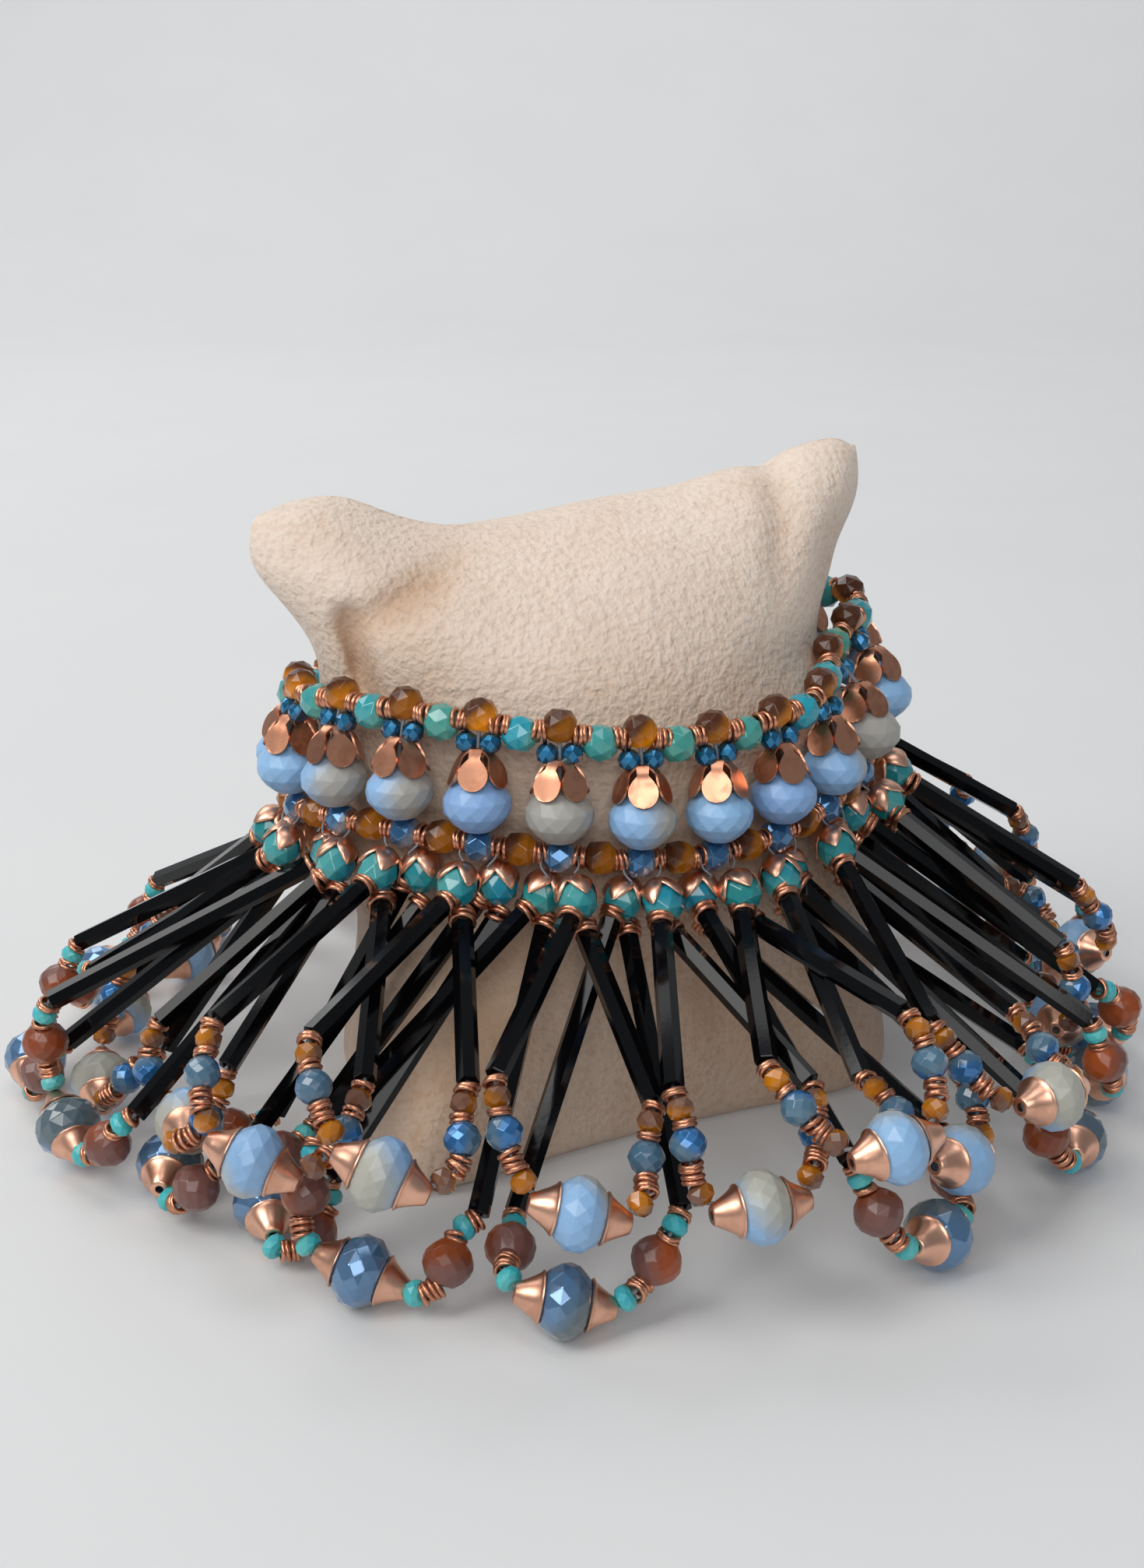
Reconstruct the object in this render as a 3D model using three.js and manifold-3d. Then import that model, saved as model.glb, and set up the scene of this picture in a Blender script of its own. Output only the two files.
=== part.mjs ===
// Beaded fringe bracelet closed round a stuffed display pillow.
// Units are millimetres, +Z is up, the pillow's broad face looks along -Y.
// The origin is the middle of the footprint, on the surface that everything rests on.
import * as THREE from 'three';
import { mergeVertices } from 'three/addons/utils/BufferGeometryUtils.js';
import Module from 'manifold-3d';

const wasm = await Module();
wasm.setup();

// ---- Driving dimensions -------------------------------------------------------------------
const UNIT_COUNT = 20;
const PITCH = 9.1;
const CLASP_STRETCH = 18;
const LOOP_LENGTH = UNIT_COUNT * PITCH + CLASP_STRETCH;
const LOOP_ASPECT = 0.75;
const LOOP_POWER = 1.8;
const FIRST_UNIT_AT = -65.1;
const BAND_HEIGHT = { mean: 55.7, front: 0, right: 2.8, ends: -1.8, twist: -2.6 };
// The upper string lies further in where the pillow narrows to its right ear
const BAND_LEAN = { at: 38, reach: 16, inset: 4.2 };

const THREAD_RADIUS = 0.45;
const CLEARANCE = 0.3;
const RING_RADIUS = 1.2;
const AMBER_RADIUS = 2.05;
const TURQUOISE_RADIUS = 2.2;
const LOWER_BLUE_RADIUS = 2.0;
const RONDELLE = { radius: 4, shoulder: 2.5, half: 3, hole: 0.85 };
const CAP = { rise: 6.3, collar: 0.9, rim: 3.3 };
const SMALL_BLUE = { drop: 3.1, reach: 1.8 };

// Depth of each piece of a unit below the amber bead, and how far out of the upper string it sits
const TURQUOISE_DROP = 1.6;
const BAND_BEAD = { drop: 10, out: 1.95, sides: 6 };
const LOWER_STRING = { drop: 15.5, out: 0.9, amberRise: 0.3 };
const NEAR_HEAD = { side: 2.0, out: 4.1, drop: 19.6 };
const FAR_HEAD = { side: -2.1, out: 1.1, drop: 20.2 };
const HEAD = { radius: 2.5, bottom: 2.9, collar: 1.2, plumb: 0.5 };
const LEG_START = { along: 2.9, side: 0.9, over: 1.1, slack: 0.3, tuck: 1.2 };

const BUGLE_RADIUS = 1.2;
const CONE = { length: 3.2, radius: 2.7, lap: 0.6 };
const MIDDLE_REACH = CONE.length - CONE.lap + RONDELLE.half;
const SHELF = 4.05;

// Half of each loop's bead string, from the bugle to the rondelle in its middle
const NEAR_LOOP = {
  bugle: 25, spread: 17.5, drape: 22,
  string: [
    { name: 'amber', length: 3.2, radius: 1.5 },
    { name: 'blue', length: 4.4, radius: 2.0, swell: 0.6 },
    { name: 'rings', length: 2.4, radius: 1.2, swell: 0.5 },
    { name: 'inner_amber', length: 2.3, radius: 1.5 },
  ],
};
const FAR_LOOP = {
  bugle: 35, spread: 14.5, drape: 34,
  string: [
    { name: 'turquoise', length: 2.7, radius: 1.5 },
    { name: 'brown', length: 5.7, radius: 2.8, swell: 0.58 },
    { name: 'rings', length: 2.3, radius: 1.2, swell: 0.5 },
    { name: 'inner_turquoise', length: 1.9, radius: 1.5 },
  ],
};

// How the fringe of each unit lies, in degrees: headings from straight ahead (-Y) towards +X, the
// near loop's slope below level and its roll (left bugle up), and the near head's side (1 is right)
const FAR_ROLL = 11;
const FRINGE_LIE = [
  { near: -146, far: -156, slope: 38, roll: 9, side: 1 },
  { near: -126, far: -134, slope: 40, roll: 9, side: 1 },
  { near: -100, far: -106, slope: 42, roll: 9, side: 1 },
  { near: -64, far: -86, slope: 38, roll: -9, side: 1 },
  { near: -34, far: -82, slope: 21, roll: 15, side: -1 },
  { near: -25, far: -70, slope: 18, roll: 15, side: -1 },
  { near: -14, far: -47, slope: 23, roll: 7, side: 1 },
  { near: 1, far: -27, slope: 21, roll: -9, side: 1 },
  { near: 8, far: 29, slope: 13, roll: -14, side: 1 },
  { near: 20, far: 54, slope: 26, roll: 16, side: -1 },
  { near: 24, far: 70, slope: 24, roll: 7, side: -1 },
  { near: 62, far: 82, slope: 34, roll: 0, side: 1 },
  { near: 84, far: 100, slope: 32, roll: 9, side: -1 },
  { near: 108, far: 118, slope: 33, roll: 9, side: 1 },
  { near: 126, far: 138, slope: 30, roll: 9, side: -1 },
  { near: 146, far: 150, slope: 34, roll: 9, side: 1 },
  { near: 156, far: 166, slope: 28, roll: 9, side: -1 },
  { near: 172, far: 174, slope: 33, roll: 9, side: 1 },
  { near: 178, far: 190, slope: 29, roll: 9, side: -1 },
  { near: 196, far: 202, slope: 32, roll: 9, side: 1 },
];

// Relaxing of the fringe: how the loops are laid over one another until none touch
const SETTLE = { sweeps: 160, gap: 0.35, reach: 7, sink: 0.005, bend: 0.2, width: 0.15 };

// The pillow's level rows: reach of its side seams, depth of its front and back from its middle
// plane, how far that plane stands back, turns and bows, and how square the row's corners are
const PILLOW = { columns: 12, sag: 1, tilt: 2.4, ears: 4.7, earFrom: 0.3, earTo: 0.95, earsFrom: 58 };
const PILLOW_ROWS = [
  { z: 0, left: -30.5, right: 34.5, front: 22.3, back: 21.5, middle: -1.4, skew: 0.21, bow: 0.0035, square: 7 },
  { z: 3, left: -32.8, right: 37.5, front: 23.8, back: 24, middle: -1.4, skew: 0.21, bow: 0.0035, square: 6 },
  { z: 13, left: -31.5, right: 37.5, front: 25, back: 25.5, middle: -0.7, skew: 0.16, bow: 0.0022, square: 3.6 },
  { z: 24, left: -30.5, right: 36.2, front: 25.4, back: 25.5, middle: 0, skew: 0.07, bow: 0.0008, square: 2.4 },
  { z: 35, left: -34.4, right: 34.6, front: 25.1, back: 25.1, middle: 0, skew: 0, bow: 0, square: 1.8 },
  { z: 48, left: -34.2, right: 34.2, front: 24.8, back: 24.8, middle: 0, skew: 0, bow: 0, square: 1.8 },
  { z: 57, left: -34, right: 30.2, front: 22.5, back: 22.5, middle: 0, skew: 0, bow: 0, square: 1.8 },
  { z: 64, left: -37, right: 32, front: 18.8, back: 18.8, middle: 0.5, skew: 0, bow: 0, square: 1.9 },
  { z: 70, left: -39.6, right: 34, front: 13.2, back: 13.2, middle: 1.2, skew: 0, bow: 0, square: 2 },
  { z: 73.8, left: -40.2, right: 35.4, front: 6, back: 6, middle: 1.8, skew: 0, bow: 0, square: 2.4 },
  { z: 75, left: -37.8, right: 35.6, front: 0, back: 0, middle: 2, skew: 0, bow: 0, square: 2.4 },
];
const CLASP = { height: 17, thickness: 2.4, corner: 1.0, out: 1.0 };

const STRAND_SIDES = 4;
const COLUMN_SIDES = 5;
const STRING_SIDES = 4;
const FRINGE_BEAD_SIDES = 6;
const NET_STRETCHES = 4;
// The fringe beads that are solids of their own; those of the other units stay on their thread
const OWN_BEADS = { from: 3, to: 16 };

const FINISH = {
  cloth: { color: 0xe2d3bd, roughness: 0.95, metalness: 0 },
  copper: { color: 0xb87858, roughness: 0.4, metalness: 1 },
  jet: { color: 0x0b0b0d, roughness: 0.12, metalness: 0 },
  paleBlue: { color: 0x8eabdc, roughness: 0.45, metalness: 0 },
  denim: { color: 0x43608f, roughness: 0.25, metalness: 0.2 },
};

const radians = THREE.MathUtils.degToRad;
const UP = new THREE.Vector3(0, 0, 1);

function moved(point, ...steps) {
  return steps.reduce((sum, [direction, amount]) => sum.addScaledVector(direction, amount), point.clone());
}

// ---- The band's curve ---------------------------------------------------------------------
// A superellipse of the loop's true length, walked from the middle of the front towards +X.
function measureLoop(steps = 720) {
  const rounded = (value) => Math.sign(value) * Math.abs(value) ** (2 / LOOP_POWER);
  const corners = [];
  const walked = [0];
  for (let i = 0; i <= steps; i += 1) {
    const angle = (2 * Math.PI * i) / steps;
    corners.push([rounded(Math.sin(angle)), -LOOP_ASPECT * rounded(Math.cos(angle))]);
    if (i > 0) {
      const [before, here] = [corners[i - 1], corners[i]];
      walked.push(walked[i - 1] + Math.hypot(here[0] - before[0], here[1] - before[1]));
    }
  }
  const scale = LOOP_LENGTH / walked[steps];
  return {
    corners: corners.map(([x, y]) => [x * scale, y * scale]),
    walked: walked.map((length) => length * scale),
  };
}

const LOOP = measureLoop();

function planAt(distance) {
  const { corners, walked } = LOOP;
  const along = ((distance % LOOP_LENGTH) + LOOP_LENGTH) % LOOP_LENGTH;
  let index = 1;
  while (walked[index] < along) index += 1;
  const share = (along - walked[index - 1]) / (walked[index] - walked[index - 1]);
  const [from, to] = [corners[index - 1], corners[index]];
  return [from[0] + (to[0] - from[0]) * share, from[1] + (to[1] - from[1]) * share];
}

function bandHeight(distance) {
  const angle = (2 * Math.PI * distance) / LOOP_LENGTH;
  return BAND_HEIGHT.mean + BAND_HEIGHT.front * Math.cos(angle) + BAND_HEIGHT.right * Math.sin(angle)
    + BAND_HEIGHT.ends * Math.cos(2 * angle) + BAND_HEIGHT.twist * Math.sin(2 * angle);
}

// A place on the upper string, with the level directions along the band and out of it
function bandAt(distance, step = 0.8) {
  const [x, y] = planAt(distance);
  const [ahead, behind] = [planAt(distance + step), planAt(distance - step)];
  const along = new THREE.Vector3(ahead[0] - behind[0], ahead[1] - behind[1], 0).normalize();
  const out = new THREE.Vector3(along.y, -along.x, 0);
  const point = new THREE.Vector3(x, y, bandHeight(distance));
  return { point, along, out, upper: moved(point, [out, -leanAt(distance)]) };
}

function leanAt(distance) {
  const share = Math.min(1, Math.abs(distance - BAND_LEAN.at) / BAND_LEAN.reach);
  return BAND_LEAN.inset * Math.cos((Math.PI / 2) * share) ** 2;
}

const unitDistance = (unit) => FIRST_UNIT_AT + PITCH * unit;

// ---- The fringe's lie ---------------------------------------------------------------------
// Half of a hanging loop as a quarter of a rounded arch of the given length: pairs of
// sideways and downward distances, one for each joint of the string.
function hangingHalf(halfWidth, pieces, power = 3.2, steps = 60) {
  const total = pieces.reduce((sum, piece) => sum + piece, 0);
  const arch = (depth) => {
    const corners = [];
    const walked = [0];
    for (let i = 0; i <= steps; i += 1) {
      const angle = (Math.PI / 2) * (i / steps);
      corners.push([-halfWidth * Math.cos(angle) ** (2 / power), depth * Math.sin(angle) ** (2 / power)]);
      if (i > 0) {
        const [before, here] = [corners[i - 1], corners[i]];
        walked.push(walked[i - 1] + Math.hypot(here[0] - before[0], here[1] - before[1]));
      }
    }
    return { corners, walked };
  };
  let [low, high] = [1, total];
  for (let i = 0; i < 40; i += 1) {
    const middle = (low + high) / 2;
    if (arch(middle).walked[steps] < total) low = middle;
    else high = middle;
  }
  const { corners, walked } = arch(low);
  const joints = [];
  let reached = 0;
  for (const piece of pieces) {
    reached += piece;
    let index = 1;
    while (index < steps && walked[index] < reached) index += 1;
    const share = Math.min(1, (reached - walked[index - 1]) / (walked[index] - walked[index - 1]));
    const [from, to] = [corners[index - 1], corners[index]];
    joints.push([from[0] + (to[0] - from[0]) * share, from[1] + (to[1] - from[1]) * share]);
  }
  return joints;
}

// The slope at which a far loop's middle bead comes to rest on the surface
function slopeToShelf(height, leg, drop, drape) {
  let [low, high] = [5, 85];
  for (let i = 0; i < 40; i += 1) {
    const middle = (low + high) / 2;
    const steep = Math.min(middle + drape, 90);
    const fall = leg * Math.sin(radians(middle)) + drop * Math.sin(radians(steep));
    if (height - fall > SHELF) low = middle;
    else high = middle;
  }
  return low;
}

function makeNode(at, fixed = false) {
  return { at, fixed };
}

// One loop: its nodes run from the head down the left bugle, round the string and back up.
function layLoop(spec, head, heading, roll, slope = null) {
  const level = new THREE.Vector3(Math.sin(radians(heading)), -Math.cos(radians(heading)), 0);
  const right = new THREE.Vector3(Math.cos(radians(heading)), Math.sin(radians(heading)), 0);
  const leg = spec.bugle + LEG_START.slack;
  const halfWidth = leg * Math.sin(radians(spec.spread)) + LEG_START.side;
  const pieces = [...spec.string.map((piece) => piece.length), MIDDLE_REACH];
  const half = hangingHalf(halfWidth, pieces);
  const straight = leg * Math.cos(radians(spec.spread));
  const drop = half[half.length - 1][1];
  const plumb = HEAD.plumb * LEG_START.along;
  const reach = straight + LEG_START.along * (1 - HEAD.plumb);
  const angle = slope ?? slopeToShelf(head.z - plumb, reach, drop, spec.drape);

  const down = moved(level.clone().multiplyScalar(Math.cos(radians(angle))), [UP, -Math.sin(radians(angle))]);
  const over = moved(level.clone().multiplyScalar(Math.sin(radians(angle))), [UP, Math.cos(radians(angle))]);
  const steep = radians(Math.min(angle + spec.drape, 90));
  const fall = moved(level.clone().multiplyScalar(Math.cos(steep)), [UP, -Math.sin(steep)]);
  const side = moved(right.clone().multiplyScalar(Math.cos(radians(roll))), [over, -Math.sin(radians(roll))]);
  const axis = moved(down.clone().multiplyScalar(1 - HEAD.plumb), [UP, -HEAD.plumb]).normalize();

  const foot = moved(head, [axis, LEG_START.along]);
  const leftTop = moved(foot, [side, -LEG_START.side], [over, LEG_START.over]);
  const rightTop = moved(foot, [side, LEG_START.side], [over, -LEG_START.over]);
  const bugleEnds = moved(foot, [down, straight]);
  const leftEnd = moved(bugleEnds, [side, -halfWidth], [over, LEG_START.over]);
  const rightEnd = moved(bugleEnds, [side, halfWidth], [over, -LEG_START.over]);
  const string = (sign) => half.map(([across, below], index) => {
    const blend = 1 - (index + 1) / half.length;
    const lift = sign * LEG_START.over * blend;
    return moved(bugleEnds, [side, sign * across], [fall, below], [over, lift]);
  });
  const leftString = string(1);
  const rightString = string(-1);
  const middle = leftString.pop();
  rightString.pop();

  const points = [leftTop, leftEnd, ...leftString, middle, ...rightString.reverse(), rightEnd, rightTop];
  const last = points.length - 1;
  const nodes = points.map((point, index) => makeNode(point, index === 0 || index === last));
  const radii = [BUGLE_RADIUS, ...spec.string.map((piece) => piece.radius), CONE.radius];
  const lengths = [leg, ...pieces];
  const mirrored = (list) => [...list, ...[...list].reverse()];
  return { spec, head, axis, nodes, radii: mirrored(radii), lengths: mirrored(lengths), middle: points.length >> 1 };
}

function unitFrame(unit) {
  const distance = unitDistance(unit);
  const { point, along, out, upper } = bandAt(distance);
  const { side } = FRINGE_LIE[unit];
  const headAt = (place) => moved(point, [along, side * place.side], [out, place.out], [UP, -place.drop]);
  return {
    distance, along, out, upper,
    bandBead: moved(point, [out, BAND_BEAD.out], [UP, -BAND_BEAD.drop]),
    lowerBlue: moved(point, [out, LOWER_STRING.out], [UP, -LOWER_STRING.drop]),
    nearHead: headAt(NEAR_HEAD),
    farHead: headAt(FAR_HEAD),
  };
}

// Shares along two segments at which they come closest
function closestShares(p1, q1, p2, q2) {
  const d1 = q1.clone().sub(p1);
  const d2 = q2.clone().sub(p2);
  const r = p1.clone().sub(p2);
  const [a, e, f, b, c] = [d1.dot(d1), d2.dot(d2), d2.dot(r), d1.dot(d2), d1.dot(r)];
  const clamp = (value) => Math.min(1, Math.max(0, value));
  if (a < 1e-9 && e < 1e-9) return [0, 0];
  if (a < 1e-9) return [0, clamp(f / e)];
  if (e < 1e-9) return [clamp(-c / a), 0];
  const spread = a * e - b * b;
  let s = spread > 1e-9 ? clamp((b * f - c * e) / spread) : 0.5;
  let t = (b * s + f) / e;
  if (t < 0) [s, t] = [clamp(-c / a), 0];
  else if (t > 1) [s, t] = [clamp((b - c) / a), 1];
  return [s, t];
}

function collidersOf(strand, strandIndex) {
  const colliders = [];
  const { nodes, radii, middle } = strand;
  for (let i = 0; i < radii.length; i += 1) {
    colliders.push({ from: nodes[i], to: nodes[i + 1], radius: radii[i], strandIndex });
  }
  colliders.push({ from: nodes[middle], to: nodes[middle], radius: RONDELLE.radius, strandIndex });
  return colliders;
}

function pushApart(first, second) {
  const [s, t] = closestShares(first.from.at, first.to.at, second.from.at, second.to.at);
  const here = first.from.at.clone().lerp(first.to.at, s);
  const there = second.from.at.clone().lerp(second.to.at, t);
  const apart = here.sub(there);
  const distance = apart.length();
  const wanted = first.radius + second.radius + SETTLE.gap;
  if (distance >= wanted || distance < 1e-6) return;
  const shares = [[first.from, 1 - s], [first.to, s], [second.from, t - 1], [second.to, -t]];
  const total = shares.reduce((sum, [node, share]) => sum + (node.fixed ? 0 : share * share), 0);
  if (total < 1e-6) return;
  for (const [node, share] of shares) {
    if (!node.fixed) node.at.addScaledVector(apart, (((wanted - distance) / distance) * share) / total);
  }
}

function holdDistance(first, second, length, strength) {
  const apart = second.at.clone().sub(first.at);
  const distance = apart.length();
  const free = (first.fixed ? 0 : 1) + (second.fixed ? 0 : 1);
  if (free === 0) return;
  const change = (strength * (distance - length)) / distance / free;
  if (!first.fixed) first.at.addScaledVector(apart, change);
  if (!second.fixed) second.at.addScaledVector(apart, -change);
}

function settle(strands, heads) {
  const headColliders = heads.map(({ at, strandIndex }) => {
    const node = makeNode(at, true);
    return { from: node, to: node, radius: HEAD.radius, strandIndex };
  });
  const colliders = [...strands.flatMap(collidersOf), ...headColliders];
  const pairs = [];
  for (let i = 0; i < colliders.length; i += 1) {
    for (let j = i + 1; j < colliders.length; j += 1) {
      const [a, b] = [colliders[i], colliders[j]];
      if (a.strandIndex !== b.strandIndex) {
        const [s, t] = closestShares(a.from.at, a.to.at, b.from.at, b.to.at);
        const gap = a.from.at.clone().lerp(a.to.at, s).distanceTo(b.from.at.clone().lerp(b.to.at, t));
        if (gap < a.radius + b.radius + SETTLE.reach) pairs.push([a, b]);
      }
    }
  }
  const bends = strands.map(({ nodes }) => nodes.slice(2).map((node, i) => node.at.distanceTo(nodes[i].at)));
  const widths = strands.map(({ nodes }) => nodes[1].at.distanceTo(nodes[nodes.length - 2].at));
  for (let sweep = 0; sweep < SETTLE.sweeps; sweep += 1) {
    for (const strand of strands) {
      for (const node of strand.nodes) if (!node.fixed) node.at.z -= SETTLE.sink;
    }
    for (const [a, b] of pairs) pushApart(a, b);
    strands.forEach(({ nodes, lengths, middle }, index) => {
      bends[index].forEach((length, i) => {
        holdDistance(nodes[i], nodes[i + 2], length, i + 1 === middle ? 1 : SETTLE.bend);
      });
      holdDistance(nodes[1], nodes[nodes.length - 2], widths[index], SETTLE.width);
      for (let pass = 0; pass < 3; pass += 1) {
        lengths.forEach((length, i) => holdDistance(nodes[i], nodes[i + 1], length, 1));
      }
    });
    for (const { from, to, radius } of colliders) {
      const sunk = radius + CLEARANCE / 6 - (from.at.z + to.at.z) / 2;
      if (sunk > 0 && !from.fixed) from.at.z += sunk;
      if (sunk > 0 && !to.fixed && to !== from) to.at.z += sunk;
    }
  }
}

function layFringe() {
  const units = FRINGE_LIE.map((lie, unit) => ({ ...unitFrame(unit), lie }));
  const strands = units.flatMap(({ nearHead, farHead, lie }) => [
    layLoop(FAR_LOOP, farHead, lie.far, FAR_ROLL),
    layLoop(NEAR_LOOP, nearHead, lie.near, lie.roll, lie.slope),
  ]);
  const heads = strands.map((strand, strandIndex) => ({ at: strand.head, strandIndex }));
  settle(strands, heads);
  return units.map((frame, unit) => ({ ...frame, far: strands[2 * unit], near: strands[2 * unit + 1] }));
}

// ---- Solids -------------------------------------------------------------------------------
function solidOf(geometry) {
  const shape = geometry.clone();
  shape.deleteAttribute('normal');
  shape.deleteAttribute('uv');
  const merged = mergeVertices(shape, 1e-4);
  return new wasm.Manifold(new wasm.Mesh({
    numProp: 3,
    vertProperties: Float32Array.from(merged.attributes.position.array),
    triVerts: Uint32Array.from(merged.index.array),
  }));
}

function geometryOf(solid) {
  const mesh = solid.getMesh();
  const geometry = new THREE.BufferGeometry();
  geometry.setAttribute('position', new THREE.BufferAttribute(Float32Array.from(mesh.vertProperties), 3));
  geometry.setIndex(Array.from(mesh.triVerts));
  return geometry;
}

const joined = (solids) => geometryOf(solids.reduce((sum, solid) => sum.add(solid)));

// A closed body whose many-sided section follows a path, swells to each section's radius and
// lies square to the path or to the section's own facing
function strand(sections, sides = STRAND_SIDES) {
  const last = sections.length - 1;
  const toward = (from, to) => sections[to].point.clone().sub(sections[from].point).normalize();
  const directions = sections.map(({ facing }, i) => {
    if (facing) return facing;
    if (i === 0) return toward(0, 1);
    if (i === last) return toward(last - 1, last);
    return toward(i - 1, i).add(toward(i, i + 1)).normalize();
  });
  const positions = [];
  let normal = new THREE.Vector3(0.31, 0.17, 0.93).cross(directions[0]).normalize();
  sections.forEach(({ point, radius }, i) => {
    normal = moved(normal, [directions[i], -normal.dot(directions[i])]).normalize();
    const across = directions[i].clone().cross(normal);
    for (let side = 0; side < sides; side += 1) {
      const angle = (2 * Math.PI * side) / sides;
      const corner = moved(point, [normal, radius * Math.cos(angle)], [across, radius * Math.sin(angle)]);
      positions.push(...corner.toArray());
    }
  });
  const faces = [];
  for (let i = 0; i < last; i += 1) {
    for (let side = 0; side < sides; side += 1) {
      const next = (side + 1) % sides;
      const [a, b, c, d] = [i * sides + side, i * sides + next, (i + 1) * sides + side, (i + 1) * sides + next];
      faces.push(a, b, c, b, d, c);
    }
  }
  for (let side = 1; side < sides - 1; side += 1) {
    faces.push(0, side + 1, side);
    faces.push(last * sides, last * sides + side, last * sides + side + 1);
  }
  const geometry = new THREE.BufferGeometry();
  geometry.setAttribute('position', new THREE.Float32BufferAttribute(positions, 3));
  geometry.setIndex(faces);
  return geometry;
}

// A bead turned about its upright hole
function beadGeometry(sides) {
  const { radius, shoulder, half, hole } = RONDELLE;
  const profile = [[hole, -half], [shoulder, -half], [radius, 0], [shoulder, half], [hole, half], [hole, -half]];
  return new THREE.LatheGeometry(profile.map(([r, y]) => new THREE.Vector2(r, y)), sides);
}

function mesh(name, geometry, finish) {
  const part = new THREE.Mesh(geometry, new THREE.MeshStandardMaterial(finish));
  part.name = name;
  return part;
}

const numbered = (name, index) => `${name}_${String(index + 1).padStart(2, '0')}`;

function beadMesh(name, centre, axis, sides, finish) {
  const bead = mesh(name, beadGeometry(sides), finish);
  bead.position.copy(centre);
  bead.quaternion.setFromUnitVectors(new THREE.Vector3(0, 1, 0), axis);
  return bead;
}

// ---- Band ---------------------------------------------------------------------------------
function upperStringAt(distance, drop) {
  return moved(bandAt(distance).upper, [UP, -drop]);
}

function lowerStringAt(distance, rise) {
  const { point, out } = bandAt(distance);
  return moved(point, [out, LOWER_STRING.out], [UP, rise - LOWER_STRING.drop]);
}

// What stands over and under each large bead, turned about one line: the pair of small blue
// beads, the flared cap and the thread that passes through the bead to the lower string
function columnSolid({ upper, bandBead, lowerBlue }) {
  const aboveBead = (rise) => moved(bandBead, [UP, rise]);
  const neck = upper.clone().lerp(bandBead, SMALL_BLUE.drop / upper.distanceTo(bandBead));
  return solidOf(strand([
    { point: upper, radius: CAP.collar },
    { point: neck, radius: SMALL_BLUE.reach },
    { point: aboveBead(CAP.rise), radius: CAP.collar },
    { point: aboveBead(RONDELLE.half + CLEARANCE), radius: CAP.rim },
    { point: aboveBead(RONDELLE.half + CLEARANCE / 2), radius: THREAD_RADIUS },
    { point: aboveBead(-RONDELLE.half), radius: THREAD_RADIUS },
    { point: lowerBlue, radius: CAP.collar },
  ], COLUMN_SIDES));
}

// One stretch of the band's netting: both edging strings and the columns between them. It ends
// short of the rings that begin the next stretch, or in bare thread at the clasp.
function netGeometry(units, isFirst, isLast) {
  const quarter = PITCH / 4;
  const upper = [];
  const lower = [];
  const addRings = (distance) => {
    upper.push({ point: upperStringAt(distance, TURQUOISE_DROP / 2), radius: RING_RADIUS });
    lower.push({ point: lowerStringAt(distance, LOWER_STRING.amberRise / 2), radius: RING_RADIUS });
  };
  for (const { distance, lowerBlue, upper: amber } of units) {
    addRings(distance - quarter);
    upper.push({ point: amber, radius: AMBER_RADIUS });
    lower.push({ point: lowerBlue, radius: LOWER_BLUE_RADIUS });
    addRings(distance + quarter);
    const between = distance + PITCH / 2;
    upper.push({ point: upperStringAt(between, TURQUOISE_DROP), radius: TURQUOISE_RADIUS });
    lower.push({ point: lowerStringAt(between, LOWER_STRING.amberRise), radius: AMBER_RADIUS });
  }
  if (isFirst) {
    upper.unshift({ point: upperStringAt(units[0].distance - PITCH / 2, TURQUOISE_DROP / 2), radius: THREAD_RADIUS });
    lower.unshift({ point: lowerStringAt(units[0].distance - PITCH / 2, 0), radius: THREAD_RADIUS });
  }
  if (isLast) {
    upper[upper.length - 1].radius = THREAD_RADIUS;
    lower[lower.length - 1].radius = THREAD_RADIUS;
  } else {
    addRings(units[units.length - 1].distance + 3 * quarter - 2 * CLEARANCE);
  }
  const strings = [upper, lower].map((sections) => solidOf(strand(sections, STRING_SIDES)));
  return joined([...strings, ...units.map(columnSolid)]);
}

// A plain rounded plate across the gap between the last unit and the first
function claspGeometry() {
  const { height, thickness, corner } = CLASP;
  const middle = unitDistance(UNIT_COUNT - 1) + (PITCH + CLASP_STRETCH) / 2;
  const { point, along, out } = bandAt(middle);
  const [halfLength, halfHeight] = [CLASP_STRETCH / 2 - CLEARANCE, height / 2];
  const outline = new THREE.Shape();
  outline.moveTo(-halfLength + corner, -halfHeight);
  outline.lineTo(halfLength - corner, -halfHeight);
  outline.lineTo(halfLength, -halfHeight + corner);
  outline.lineTo(halfLength, halfHeight - corner);
  outline.lineTo(halfLength - corner, halfHeight);
  outline.lineTo(-halfLength + corner, halfHeight);
  outline.lineTo(-halfLength, halfHeight - corner);
  outline.lineTo(-halfLength, -halfHeight + corner);
  outline.closePath();
  const plate = new THREE.ExtrudeGeometry(outline, { depth: thickness, bevelEnabled: false });
  plate.translate(0, 0, -thickness / 2);
  const place = new THREE.Matrix4().makeBasis(along, UP, out);
  place.setPosition(moved(point, [out, CLASP.out], [UP, -LOWER_STRING.drop / 2]));
  return plate.applyMatrix4(place);
}

// ---- Fringe -------------------------------------------------------------------------------
// A head bead with its cap, hung from just under the lower string's bead
function headSolid({ head, axis }, lowerBlue) {
  return solidOf(strand([
    { point: moved(lowerBlue, [UP, -LOWER_BLUE_RADIUS - CLEARANCE - HEAD.collar / 2]), radius: HEAD.collar / 2 },
    { point: head, radius: HEAD.radius },
    { point: moved(head, [axis, HEAD.bottom]), radius: HEAD.collar },
  ]));
}

const middleAxis = ({ nodes, middle }) => nodes[middle + 1].at.clone().sub(nodes[middle - 1].at).normalize();

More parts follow.
